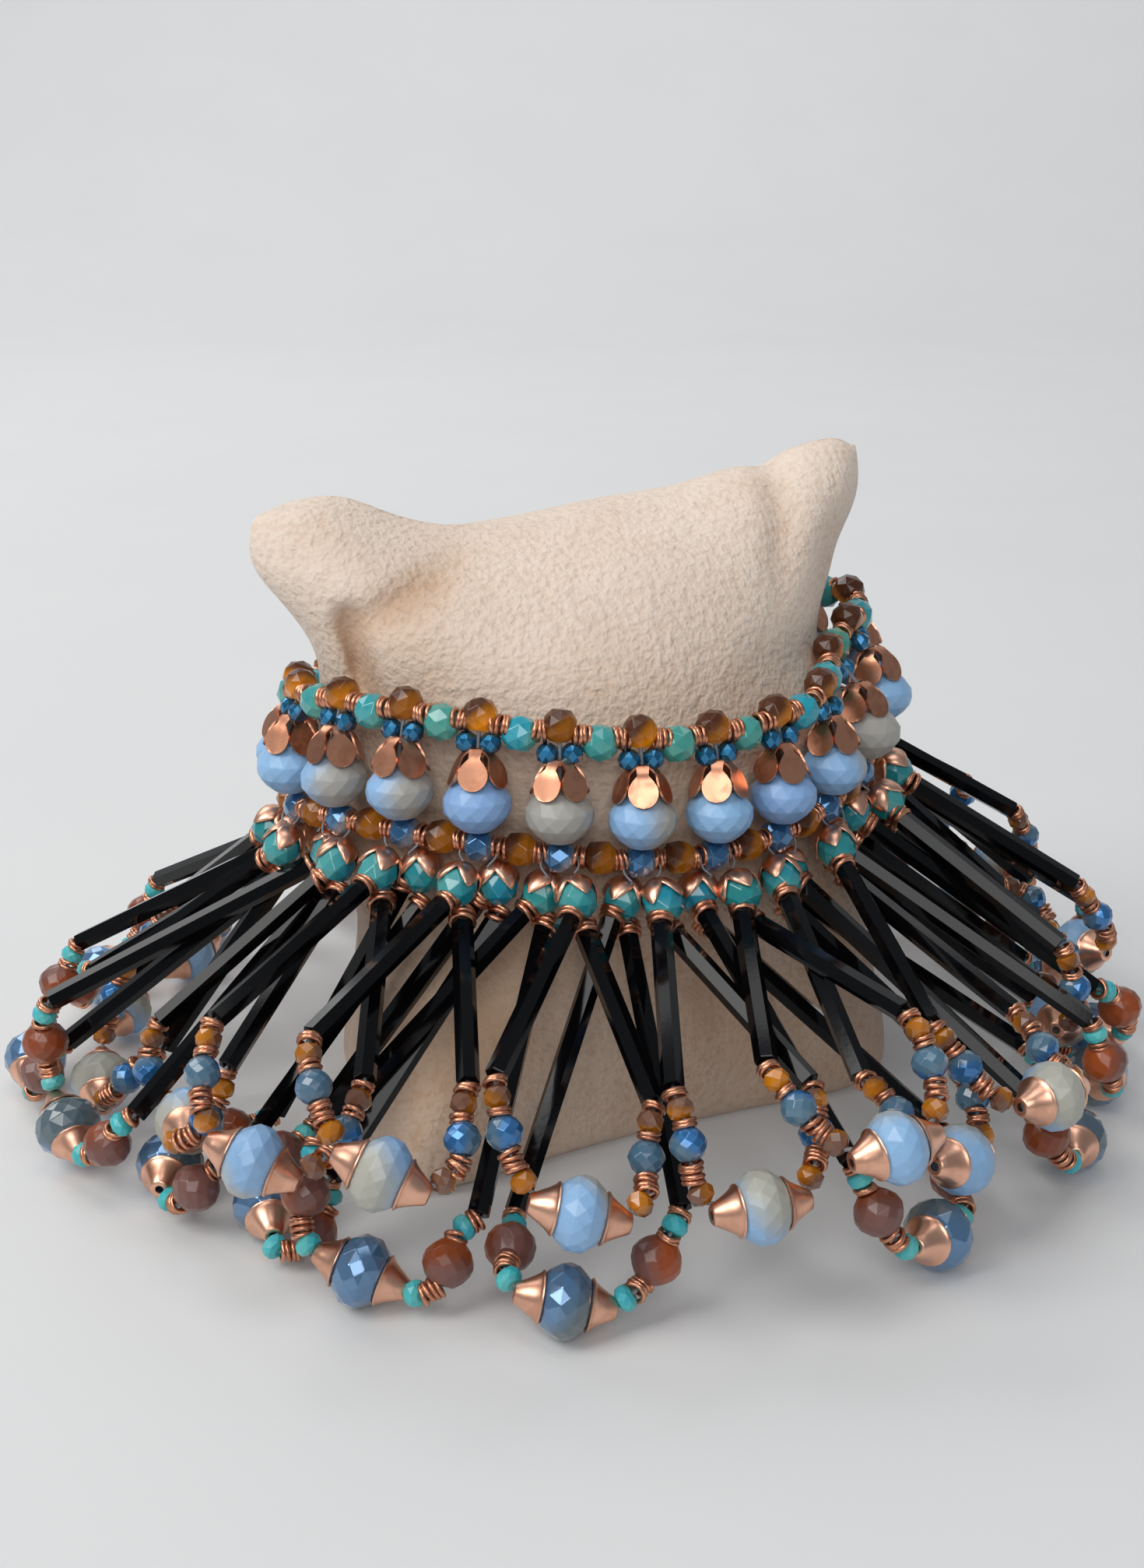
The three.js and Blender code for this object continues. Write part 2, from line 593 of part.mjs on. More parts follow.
function loopSolid(loop, threaded) {
  const { spec, nodes, middle } = loop;
  const axis = middleAxis(loop);
  const at = (index) => nodes[index].at;
  const last = nodes.length - 1;
  const half = (from, step) => {
    const sections = [];
    const away = at(from).clone().sub(at(from + step)).normalize();
    sections.push({ point: moved(at(from), [away, LEG_START.tuck]), radius: BUGLE_RADIUS });
    sections.push({ point: at(from + step), radius: BUGLE_RADIUS });
    spec.string.forEach(({ radius, swell }, index) => {
      const [near, far] = [at(from + step * (index + 1)), at(from + step * (index + 2))];
      if (swell) sections.push({ point: near.clone().lerp(far, swell), radius });
    });
    const coneAt = (reach, radius) => ({ point: moved(at(middle), [axis, -step * reach]), radius, facing: axis });
    if (!threaded) return [...sections, coneAt(RONDELLE.half - CONE.lap, CONE.radius)];
    return [
      ...sections,
      coneAt(RONDELLE.half + CLEARANCE, CONE.radius),
      coneAt(RONDELLE.half + CLEARANCE / 2, THREAD_RADIUS),
    ];
  };
  const left = half(0, 1);
  const right = half(last, -1).reverse();
  const belt = threaded ? [] : [{ point: at(middle), radius: RONDELLE.radius }];
  return solidOf(strand([...left, ...belt, ...right]));
}

function fringeGeometry(unit, threaded) {
  return joined([
    headSolid(unit.near, unit.lowerBlue), headSolid(unit.far, unit.lowerBlue),
    loopSolid(unit.near, false), loopSolid(unit.far, threaded),
  ]);
}

// ---- Pillow -------------------------------------------------------------------------------
// How far the top seam stands above its middle, from -1 at the left ear to 1 at the right one
function seamRise(u) {
  const { sag, tilt, ears, earFrom, earTo } = PILLOW;
  const side = Math.sign(u) * (1 - (1 - Math.abs(u)) ** 3);
  return tilt * side - sag + ears * THREE.MathUtils.smoothstep(Math.abs(u), earFrom, earTo);
}

// Level rows of a stuffed pillow from its flat foot up to the seam between its ears. Each row
// has a front and a back sheet that meet in the side seams.
function pillowGeometry() {
  const { columns, earsFrom } = PILLOW;
  const across = Array.from({ length: columns + 1 }, (_, i) => Math.sin(Math.PI * (i / columns - 0.5)));
  const positions = [];
  const top = PILLOW_ROWS[PILLOW_ROWS.length - 1].z;
  for (const row of PILLOW_ROWS) {
    const raised = Math.max(0, (row.z - earsFrom) / (top - earsFrom));
    for (const [depth, side] of [[row.front, -1], [row.back, 1]]) {
      for (const u of across) {
        const x = row.left + ((row.right - row.left) * (u + 1)) / 2;
        const bulge = Math.max(0, 1 - Math.abs(u) ** row.square) ** (1 / row.square);
        const middle = row.middle + row.skew * x - row.bow * x * x;
        positions.push(x, middle + side * depth * bulge, row.z + raised * seamRise(u));
      }
    }
  }
  const at = (row, side, column) => (2 * row + side) * (columns + 1) + column;
  const faces = [];
  for (let column = 0; column < columns; column += 1) {
    const next = column + 1;
    faces.push(at(0, 0, column), at(0, 1, column), at(0, 0, next));
    faces.push(at(0, 1, column), at(0, 1, next), at(0, 0, next));
    for (let row = 0; row < PILLOW_ROWS.length - 1; row += 1) {
      faces.push(at(row, 0, column), at(row, 0, next), at(row + 1, 0, column));
      faces.push(at(row, 0, next), at(row + 1, 0, next), at(row + 1, 0, column));
      faces.push(at(row, 1, column), at(row + 1, 1, column), at(row, 1, next));
      faces.push(at(row, 1, next), at(row + 1, 1, column), at(row + 1, 1, next));
    }
  }
  const geometry = new THREE.BufferGeometry();
  geometry.setAttribute('position', new THREE.Float32BufferAttribute(positions, 3));
  geometry.setIndex(faces);
  return geometryOf(solidOf(geometry));
}

// ---- Assembly -----------------------------------------------------------------------------
const units = layFringe();
const bracelet = new THREE.Group();
bracelet.add(mesh('display_pillow', pillowGeometry(), FINISH.cloth));

units.forEach((unit, index) => {
  const threaded = index >= OWN_BEADS.from && index <= OWN_BEADS.to;
  bracelet.add(beadMesh(numbered('band_bead', index), unit.bandBead, UP, BAND_BEAD.sides, FINISH.paleBlue));
  bracelet.add(mesh(numbered('fringe', index), fringeGeometry(unit, threaded), FINISH.jet));
  if (threaded) {
    const { at } = unit.far.nodes[unit.far.middle];
    const axis = middleAxis(unit.far);
    bracelet.add(beadMesh(numbered('fringe_bead', index), at, axis, FRINGE_BEAD_SIDES, FINISH.denim));
  }
});

for (let stretch = 0; stretch < NET_STRETCHES; stretch += 1) {
  const size = UNIT_COUNT / NET_STRETCHES;
  const members = units.slice(stretch * size, (stretch + 1) * size);
  const geometry = netGeometry(members, stretch === 0, stretch === NET_STRETCHES - 1);
  bracelet.add(mesh(numbered('band_net', stretch), geometry, FINISH.copper));
}
bracelet.add(mesh('clasp', claspGeometry(), FINISH.copper));

const footprint = new THREE.Box3().setFromObject(bracelet).getCenter(new THREE.Vector3());
bracelet.position.set(-footprint.x, -footprint.y, 0);

export default bracelet;
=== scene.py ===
"""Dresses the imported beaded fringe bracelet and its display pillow."""

import logging
import math
from collections.abc import Callable, Sequence
from dataclasses import dataclass, field, fields
from enum import Enum
from random import Random

import bmesh
import bpy
import numpy as np
from mathutils import Matrix, Quaternion, Vector, noise

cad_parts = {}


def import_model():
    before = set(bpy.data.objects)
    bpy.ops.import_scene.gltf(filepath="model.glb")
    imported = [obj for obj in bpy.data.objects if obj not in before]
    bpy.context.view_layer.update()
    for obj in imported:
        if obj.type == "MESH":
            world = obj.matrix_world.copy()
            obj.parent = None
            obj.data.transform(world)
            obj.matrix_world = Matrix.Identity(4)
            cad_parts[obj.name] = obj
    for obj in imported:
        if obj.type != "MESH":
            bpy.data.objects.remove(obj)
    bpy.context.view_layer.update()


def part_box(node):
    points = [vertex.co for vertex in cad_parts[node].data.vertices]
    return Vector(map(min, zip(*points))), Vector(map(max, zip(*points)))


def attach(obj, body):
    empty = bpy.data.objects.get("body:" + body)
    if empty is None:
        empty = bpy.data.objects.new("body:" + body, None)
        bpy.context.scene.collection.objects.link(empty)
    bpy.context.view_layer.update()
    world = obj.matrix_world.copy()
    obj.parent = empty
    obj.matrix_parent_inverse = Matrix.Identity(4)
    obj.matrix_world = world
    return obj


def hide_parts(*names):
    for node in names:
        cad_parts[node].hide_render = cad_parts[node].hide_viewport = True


LOG = logging.getLogger("bracelet")
MM = 0.001
UP = Vector((0, 0, 1))
SEED = 7
Colour = tuple[float, float, float]
Pair = tuple[float, float]


def srgb(red: int, green: int, blue: int) -> Colour:
    """Turns a screen colour into a linear one.

    Args:
        red: Red from 0 to 255.
        green: Green from 0 to 255.
        blue: Blue from 0 to 255.

    Returns:
        The linear colour.
    """
    return tuple(((c / 255 + 0.055) / 1.055) ** 2.4 if c > 10 else c / 3294 for c in (red, green, blue))


# ---- Shaders ------------------------------------------------------------------------------
class Signal:
    """A node's output socket that adds Math nodes when it stands in an expression."""

    def __init__(self, recipe: "Recipe", socket: bpy.types.NodeSocket) -> None:
        """Keeps the socket and the recipe that its nodes are added to."""
        self.recipe = recipe
        self.socket = socket

    def _with(self, operation: str, first: "Signal | float", second: "Signal | float") -> "Signal":
        """Adds one Math node and returns its output."""
        settings = {"operation": operation}
        return self.recipe.node("ShaderNodeMath", settings, {0: first, 1: second})

    def __add__(self, other: "Signal | float") -> "Signal":
        """Adds a value."""
        return self._with("ADD", self, other)

    def __radd__(self, other: float) -> "Signal":
        """Adds to a number."""
        return self._with("ADD", other, self)

    def __sub__(self, other: "Signal | float") -> "Signal":
        """Takes a value away."""
        return self._with("SUBTRACT", self, other)

    def __rsub__(self, other: float) -> "Signal":
        """Takes this away from a number."""
        return self._with("SUBTRACT", other, self)

    def __mul__(self, other: "Signal | float") -> "Signal":
        """Multiplies by a value."""
        return self._with("MULTIPLY", self, other)

    def __rmul__(self, other: float) -> "Signal":
        """Multiplies a number."""
        return self._with("MULTIPLY", other, self)

    def between(self, low: float, high: float) -> "Signal":
        """Rises smoothly from 0 at the low value to 1 at the high one.

        Args:
            low: The value that gives 0.
            high: The value that gives 1.

        Returns:
            The smooth mask.
        """
        settings = {"interpolation_type": "SMOOTHSTEP"}
        limits = {"Value": self, "From Min": low, "From Max": high}
        return self.recipe.node("ShaderNodeMapRange", settings, limits)


class Recipe:
    """One material with a Principled shader and the nodes that feed it."""

    def __init__(self, name: str) -> None:
        """Makes the empty material."""
        self.material = bpy.data.materials.new(name)
        self.material.use_nodes = True
        self.nodes = self.material.node_tree.nodes
        self.links = self.material.node_tree.links
        self.shader = self.nodes["Principled BSDF"]

    def node(self, kind: str, settings: dict | None = None, inputs: dict | None = None,
             output: int | str = 0) -> Signal:
        """Adds a node.

        Args:
            kind: The node's type.
            settings: Its properties, set before its sockets.
            inputs: Values or signals by socket name or number.
            output: The socket to return.

        Returns:
            The chosen output.
        """
        made = self.nodes.new(kind)
        for key, value in (settings or {}).items():
            setattr(made, key, value)
        for key, value in (inputs or {}).items():
            self.join(made.inputs[key], value)
        return Signal(self, made.outputs[output])

    def join(self, socket: bpy.types.NodeSocket, value: "Signal | float | Colour") -> None:
        """Links a signal to a socket, or sets a constant on it."""
        if isinstance(value, Signal):
            self.links.new(value.socket, socket)
        elif isinstance(value, tuple) and len(socket.default_value) == 4:
            socket.default_value = (*value, 1)
        else:
            socket.default_value = value

    def mixed(self, factor: Signal, first: "Signal | Colour", second: "Signal | Colour") -> Signal:
        """Mixes two colours.

        Args:
            factor: 0 gives the first colour and 1 the second.
            first: The first colour.
            second: The second colour.

        Returns:
            The mixed colour.
        """
        # Sockets 6 and 7 and output 2 are the ones that this node keeps for colours.
        return self.node("ShaderNodeMix", {"data_type": "RGBA"}, {0: factor, 6: first, 7: second}, output=2)

    def attribute(self, name: str) -> Signal:
        """Reads a number that the mesh carries."""
        return self.node("ShaderNodeAttribute", {"attribute_name": name}, output="Fac")

    def noise(self, size: float, detail: float = 2.0, distortion: float = 0.0) -> Signal:
        """Adds a noise in object space.

        Args:
            size: Size of its blotches in millimetres.
            detail: How much finer noise it holds.
            distortion: How far its blotches are drawn out.

        Returns:
            The noise from 0 to 1.
        """
        place = self.node("ShaderNodeTexCoord", output="Object")
        values = {"Vector": place, "Scale": 1 / (size * MM), "Detail": detail, "Distortion": distortion}
        return self.node("ShaderNodeTexNoise", None, values)

    def bump(self, height: Signal, strength: float, depth: float) -> Signal:
        """Turns a height into a normal.

        Args:
            height: The height from 0 to 1.
            strength: How strongly it shows.
            depth: The relief's depth in millimetres.

        Returns:
            The normal.
        """
        values = {"Height": height, "Strength": strength, "Distance": depth * MM}
        return self.node("ShaderNodeBump", None, values)

    def dress(self, **sockets: "Signal | float | Colour") -> bpy.types.Material:
        """Sets the shader's sockets, named with underscores for spaces, and returns the material."""
        for key, value in sockets.items():
            self.join(self.shader.inputs[key.replace("_", " ")], value)
        return self.material


# ---- Finishes -----------------------------------------------------------------------------
@dataclass(frozen=True)
class CoatedGlass:
    """Faceted glass whose one side carries a coat, as a dipped bead does.

    Attributes:
        name: The material's name.
        first: Colour of the glass where a bead's tone is 0.
        second: Colour of the glass where its tone is 1.
        coat: Colour of the coat.
        share: Share of the bead that the coat covers.
        soft: How softly the coat ends.
        metal: How metallic the coat is.
        rough: Roughness of the glass.
        coat_rough: Roughness of the coat.
        clear: Weight of the gloss over both.
        glow: How much light seems to come through the glass.
        painted_shade: How far the glass is darkened with painted shade on the side away from the coat,
            standing in for the depth of see-through glass.
        shine: Level of the mirrored light.
    """

    name: str
    first: Colour
    second: Colour
    coat: Colour
    share: float = 0.5
    soft: float = 0.35
    metal: float = 0.0
    rough: float = 0.14
    coat_rough: float = 0.2
    clear: float = 0.6
    glow: float = 0.0
    painted_shade: float = 0.0
    shine: float = 0.5

    def make(self) -> bpy.types.Material:
        """Builds the material."""
        recipe = Recipe(self.name)
        cloud = recipe.noise(2.4, 3.0)
        grain = recipe.noise(0.22, 2.0)
        edge = 1 - 2 * self.share
        shifted = recipe.attribute("side") + (cloud - 0.5) * 0.5
        mask = shifted.between(edge - self.soft, edge + self.soft)
        body = recipe.mixed(recipe.attribute("tone"), self.first, self.second)
        # Painted shade: the uncoated glass darkens towards the side away from the coat, standing in for the
        # depth of see-through glass; the cloud is the glass's own.
        depth = tuple(c * (0.62 - 0.4 * self.painted_shade) for c in self.first)
        shadow = recipe.attribute("side").between(-0.75, 0.1) * self.painted_shade
        clouded = recipe.mixed(cloud.between(0.45, 0.75) * 0.35 * (1 - self.painted_shade) + shadow, body, depth)
        base = recipe.mixed(mask, clouded, self.coat)
        rough = self.rough + mask * (self.coat_rough - self.rough) + grain * 0.08
        return recipe.dress(
            Base_Color=base,
            Metallic=mask * self.metal if self.metal else 0.0,
            Roughness=rough,
            Normal=recipe.bump(grain, 0.12, 0.02),
            # Painted light: the uncoated glass glows with its own colour as if light came through it.
            Emission_Color=recipe.mixed(mask, clouded, (0.0, 0.0, 0.0)),
            Emission_Strength=self.glow,
            Coat_Weight=self.clear,
            Coat_Roughness=0.08,
            Specular_IOR_Level=self.shine,
            IOR=1.52,
        )


@dataclass(frozen=True)
class AgedCopper:
    """Bare copper, bright where it is rubbed and brown, to the share named age, where it isn't."""

    name: str
    bright: Colour = srgb(224, 160, 128)
    dark: Colour = srgb(132, 80, 58)
    rough: float = 0.24
    age: float = 0.5

    def make(self) -> bpy.types.Material:
        """Builds the material."""
        recipe = Recipe(self.name)
        stain = recipe.noise(1.7, 4.0, 0.6)
        grain = recipe.noise(0.16, 2.0)
        mask = (stain + recipe.attribute("tone") * 0.25).between(0.5, 0.9) * self.age
        return recipe.dress(
            Base_Color=recipe.mixed(mask, self.bright, self.dark),
            Metallic=1.0,
            Roughness=self.rough + stain * 0.1 + mask * 0.12,
            Normal=recipe.bump(grain * 0.4 + stain, 0.1, 0.02),
        )


@dataclass(frozen=True)
class JetGlass:
    """Glossy black glass of the long tube beads."""

    name: str

    def make(self) -> bpy.types.Material:
        """Builds the material."""
        recipe = Recipe(self.name)
        haze = recipe.noise(5.0, 3.0)
        grain = recipe.noise(0.5, 2.0)
        return recipe.dress(
            Base_Color=recipe.mixed(haze, srgb(4, 4, 6), srgb(10, 10, 12)),
            Roughness=0.05 + haze * 0.06,
            Normal=recipe.bump(grain + haze, 0.05, 0.03),
            IOR=1.52,
            Specular_IOR_Level=0.24,
        )


@dataclass(frozen=True)
class BrushedSuede:
    """Cream cloth with a short nap that lies in little lumps, with painted shade in the nap's valleys, in the
    creases and low on the pillow.
    """

    name: str
    light: Colour = srgb(240, 223, 207)
    mottle_and_shade: Colour = srgb(208, 174, 146)

    def make(self) -> bpy.types.Material:
        """Builds the material."""
        recipe = Recipe(self.name)
        nap = recipe.noise(0.95, 1.0, 0.15)
        fuzz = recipe.noise(0.3, 3.0)
        drift = recipe.noise(16.0, 2.0)
        # Painted shade: darker in the nap's valleys and, through the side attribute, in the creases and low
        # on the pillow; the drift is the cloth's own mottling.
        valley_shade = nap.between(0.52, 0.34)
        shade = valley_shade * 0.18 + drift.between(0.35, 0.75) * 0.3 + 0.1 + recipe.attribute("side") * 0.6
        return recipe.dress(
            Base_Color=recipe.mixed(shade, self.light, self.mottle_and_shade),
            Roughness=0.88 + fuzz * 0.1,
            Normal=recipe.bump(nap + fuzz * 0.25, 0.85, 0.5),
            Sheen_Weight=0.35,
            Sheen_Roughness=0.45,
            Specular_IOR_Level=0.2,
        )


@dataclass(frozen=True)
class ClearThread:
    """Nylon thread that catches the light."""

    name: str

    def make(self) -> bpy.types.Material:
        """Builds the material."""
        recipe = Recipe(self.name)
        twist = recipe.noise(0.6, 2.0)
        return recipe.dress(
            Base_Color=recipe.mixed(twist, srgb(196, 200, 204), srgb(150, 156, 164)),
            Roughness=0.16 + twist * 0.1,
            Normal=recipe.bump(twist, 0.1, 0.02),
            Transmission_Weight=0.55,
            IOR=1.45,
        )


@dataclass(frozen=True)
class PaleFloor:
    """The plain pale surface that everything stands on."""

    name: str

    def make(self) -> bpy.types.Material:
        """Builds the material."""
        recipe = Recipe(self.name)
        cloud = recipe.noise(60.0, 2.0)
        return recipe.dress(
            Base_Color=recipe.mixed(cloud, srgb(222, 222, 221), srgb(217, 217, 217)),
            Roughness=0.55 + cloud * 0.1,
            Specular_IOR_Level=0.25,
            Emission_Color=srgb(214, 216, 218),
            Emission_Strength=0.05,
        )


class Glass(Enum):
    """The glass of each kind of bead."""

    SMOKY_AMBER = CoatedGlass(
        "smoky_amber", srgb(214, 128, 6), srgb(122, 68, 6), srgb(80, 40, 14), share=0.42, soft=0.28,
        rough=0.08, clear=0.3, glow=0.24, painted_shade=0.8, shine=0.3)
    TURQUOISE = CoatedGlass(
        "turquoise", srgb(24, 160, 184), srgb(80, 154, 126), srgb(104, 178, 158), share=0.22, soft=0.6,
        rough=0.1, coat_rough=0.16)
    HALF_COATED_BLUE = CoatedGlass(
        "half_coated_blue", srgb(128, 130, 134), srgb(98, 108, 122), srgb(62, 114, 160), share=0.44,
        soft=0.3, metal=0.6, rough=0.06, coat_rough=0.12, clear=0.8)
    METALLIC_NAVY = CoatedGlass(
        "metallic_navy", srgb(32, 54, 74), srgb(26, 46, 66), srgb(34, 116, 160), share=0.45, metal=0.85,
        coat_rough=0.18)
    MATTE_SKY = CoatedGlass(
        "matte_sky", srgb(146, 190, 230), srgb(138, 176, 224), srgb(168, 165, 158), share=0.36, soft=0.5,
        rough=0.34, coat_rough=0.38, clear=0.15)
    TEAL_GLASS_BEAD = CoatedGlass(
        "teal_glass_bead", srgb(18, 136, 164), srgb(38, 142, 142), srgb(74, 162, 162), share=0.26, soft=0.5,
        rough=0.1, coat_rough=0.16)
    HONEY_AMBER = CoatedGlass(
        "honey_amber", srgb(192, 118, 18), srgb(150, 88, 16), srgb(112, 74, 54), share=0.42, soft=0.25,
        rough=0.08, coat_rough=0.22, glow=0.1, painted_shade=0.7)
    STEEL_BLUE_GLASS = CoatedGlass(
        "steel_blue_glass", srgb(86, 122, 144), srgb(66, 98, 122), srgb(52, 118, 178), share=0.48, soft=0.3,
        metal=0.55, rough=0.1, coat_rough=0.16)
    AQUA_STONE = CoatedGlass(
        "aqua_stone", srgb(52, 178, 196), srgb(66, 184, 182), srgb(88, 190, 190), share=0.4, soft=0.5,
        rough=0.3, coat_rough=0.34, clear=0.2)
    FROSTED_UMBER = CoatedGlass(
        "frosted_umber", srgb(160, 74, 22), srgb(124, 56, 26), srgb(116, 74, 66), soft=0.4, rough=0.28,
        coat_rough=0.32, clear=0.25, glow=0.06, painted_shade=0.5)
    MATTE_SKY_AND_GREY = CoatedGlass(
        "matte_sky_and_grey", srgb(146, 190, 230), srgb(134, 170, 210), srgb(172, 171, 160), share=0.46,
        soft=0.5, rough=0.3, coat_rough=0.36, clear=0.2)
    DENIM_GLASS_COATED = CoatedGlass(
        "denim_glass_coated", srgb(92, 108, 114), srgb(76, 96, 110), srgb(96, 134, 172), share=0.6,
        soft=0.3, metal=0.5, rough=0.07, coat_rough=0.13, clear=0.8)

    def make(self) -> bpy.types.Material:
        """Builds the material."""
        return self.value.make()


class Slot(Enum):
    """The record's material slots."""

    CLOTH = "pillow_cloth"
    BLUE = "blue_glass"
    BLACK = "black_glass"
    DENIM = "denim_glass"
    AMBER = "amber_glass"
    TEAL = "teal_glass"
    COPPER = "antique_copper"


# ---- Forms --------------------------------------------------------------------------------
@dataclass(frozen=True)
class Form:
    """A small closed form about its own +Z axis, in millimetres."""

    points: np.ndarray
    faces: tuple[tuple[int, ...], ...]
    smooth: bool = False

    @property
    def reach(self) -> float:
        """The largest distance of a point from the middle."""
        return float(np.abs(self.points).max())


def turned(profile: Sequence[Pair], sides: int, closed: bool = False, stagger: bool = False,
           smooth: bool = False) -> Form:
    """Turns a profile about +Z.

    Args:
        profile: Radius and height of each ring.
        sides: Points round each ring.
        closed: Whether the last ring joins the first, as on a ring or a tube.
        stagger: Whether every other ring is turned by half a step, which gives diamond facets.
        smooth: Whether the form is shaded smooth.

    Returns:
        The turned form.
    """
    count = len(profile)
    rings = []
    for row, (radius, height) in enumerate(profile):
        shift = 0.5 * (row % 2) if stagger else 0.0
        angles = 2 * math.pi * (np.arange(sides) + shift) / sides
        heights = np.full(sides, height)
        rings.append(np.column_stack([radius * np.cos(angles), radius * np.sin(angles), heights]))
    faces: list[tuple[int, ...]] = []
    for row in range(count if closed else count - 1):
        below, above = row * sides, ((row + 1) % count) * sides
        for side in range(sides):
            following = (side + 1) % sides
            corners = (below + side, below + following, above + following, above + side)
            if not stagger:
                faces.append(corners)
            elif row % 2:
                faces.append((corners[0], corners[1], corners[2]))
                faces.append((corners[0], corners[2], corners[3]))
            else:
                faces.append((corners[0], corners[1], corners[3]))
                faces.append((corners[1], corners[2], corners[3]))
    if not closed:
        faces.append(tuple(reversed(range(sides))))
        faces.append(tuple(range((count - 1) * sides, count * sides)))
    return Form(np.vstack(rings), tuple(faces), smooth)


def skinned(rings: int, sides: int, base: int = 0) -> list[tuple[int, ...]]:
    """The faces of a form made of rings of points, with a flat face on each end.

    Args:
        rings: Number of rings.
        sides: Points round each ring.
        base: Number of the first point.

    Returns:
        The numbers of each face's points.
    """
    faces: list[tuple[int, ...]] = []
    for below in range(base, base + (rings - 1) * sides, sides):
        for side in range(sides):
            following = below + (side + 1) % sides
            faces.append((below + side, following, following + sides, below + side + sides))
    faces.append(tuple(reversed(range(base, base + sides))))
    faces.append(tuple(range(base + (rings - 1) * sides, base + rings * sides)))
    return faces


def eased(form: Form, width: float) -> Form:
    """Breaks a form's edges with a narrow bevel.

    Args:
        form: The sharp form.
        width: The bevel's width in millimetres.

    Returns:
        The eased form.
    """
    sheet = bmesh.new()
    corners = [sheet.verts.new(point) for point in form.points]
    for face in form.faces:
        sheet.faces.new([corners[index] for index in face])
    bmesh.ops.bevel(sheet, geom=list(sheet.edges), offset=width, segments=1, affect="EDGES", profile=0.5)
    sheet.verts.index_update()
    points = np.array([vertex.co[:] for vertex in sheet.verts])
    faces = tuple(tuple(vertex.index for vertex in face.verts) for face in sheet.faces)
    sheet.free()
    return Form(points, faces, form.smooth)


@dataclass(frozen=True)
class Bead:
    """A fire-polished bead with diamond facets, about its hole.

    Attributes:
        radius: Radius at its belt.
        half: Half its height along the hole.
        table: Radius of the flat round each end of the hole.
        sides: Facets round the belt.
        ease: Width of the bevel on its edges, or 0 for none.
        fine: Whether it has a belt of upright diamonds between its two crowns.
    """

    radius: float
    half: float
    table: float
    sides: int
    ease: float = 0.0
    fine: bool = False

    def form(self) -> Form:
        """Builds the bead."""
        if self.fine:
            belt = self.radius * math.cos(math.pi / self.sides)
            upper = [(belt, 0.3 * self.half), (0.745 * self.radius, 0.7 * self.half), (self.table, self.half)]
        else:
            upper = [(0.76 * self.radius + 0.28 * self.table, 0.6 * self.half), (self.table, self.half)]
        lower = [(reach, -height) for reach, height in reversed(upper)]
        bead = turned([*lower, (self.radius, 0.0), *upper], self.sides, stagger=True)
        return eased(bead, self.ease) if self.ease else bead


def wire_ring(radius: float, wire: float, sides: int = 12, around: int = 6) -> Form:
    """A closed jump ring.

    Args:
        radius: Radius of the wire's middle line.
        wire: Radius of the wire.
        sides: Steps round the ring.
        around: Steps round the wire.

    Returns:
        The ring.
    """
    angles = [2 * math.pi * step / around for step in range(around)]
    profile = [(radius + wire * math.cos(a), wire * math.sin(a)) for a in angles]
    return turned(profile, sides, closed=True, smooth=True)


def tube_bead(radius: float, length: float, hole: float, chamfer: float = 0.12) -> Form:
    """A six-sided tube bead that hangs from its top end down -Z."""
    profile = [(hole, 0.0), (radius - chamfer, 0.0), (radius, -chamfer), (radius, chamfer - length),
               (radius - chamfer, -length), (hole, -length)]
    return turned(list(reversed(profile)), 6, closed=True)


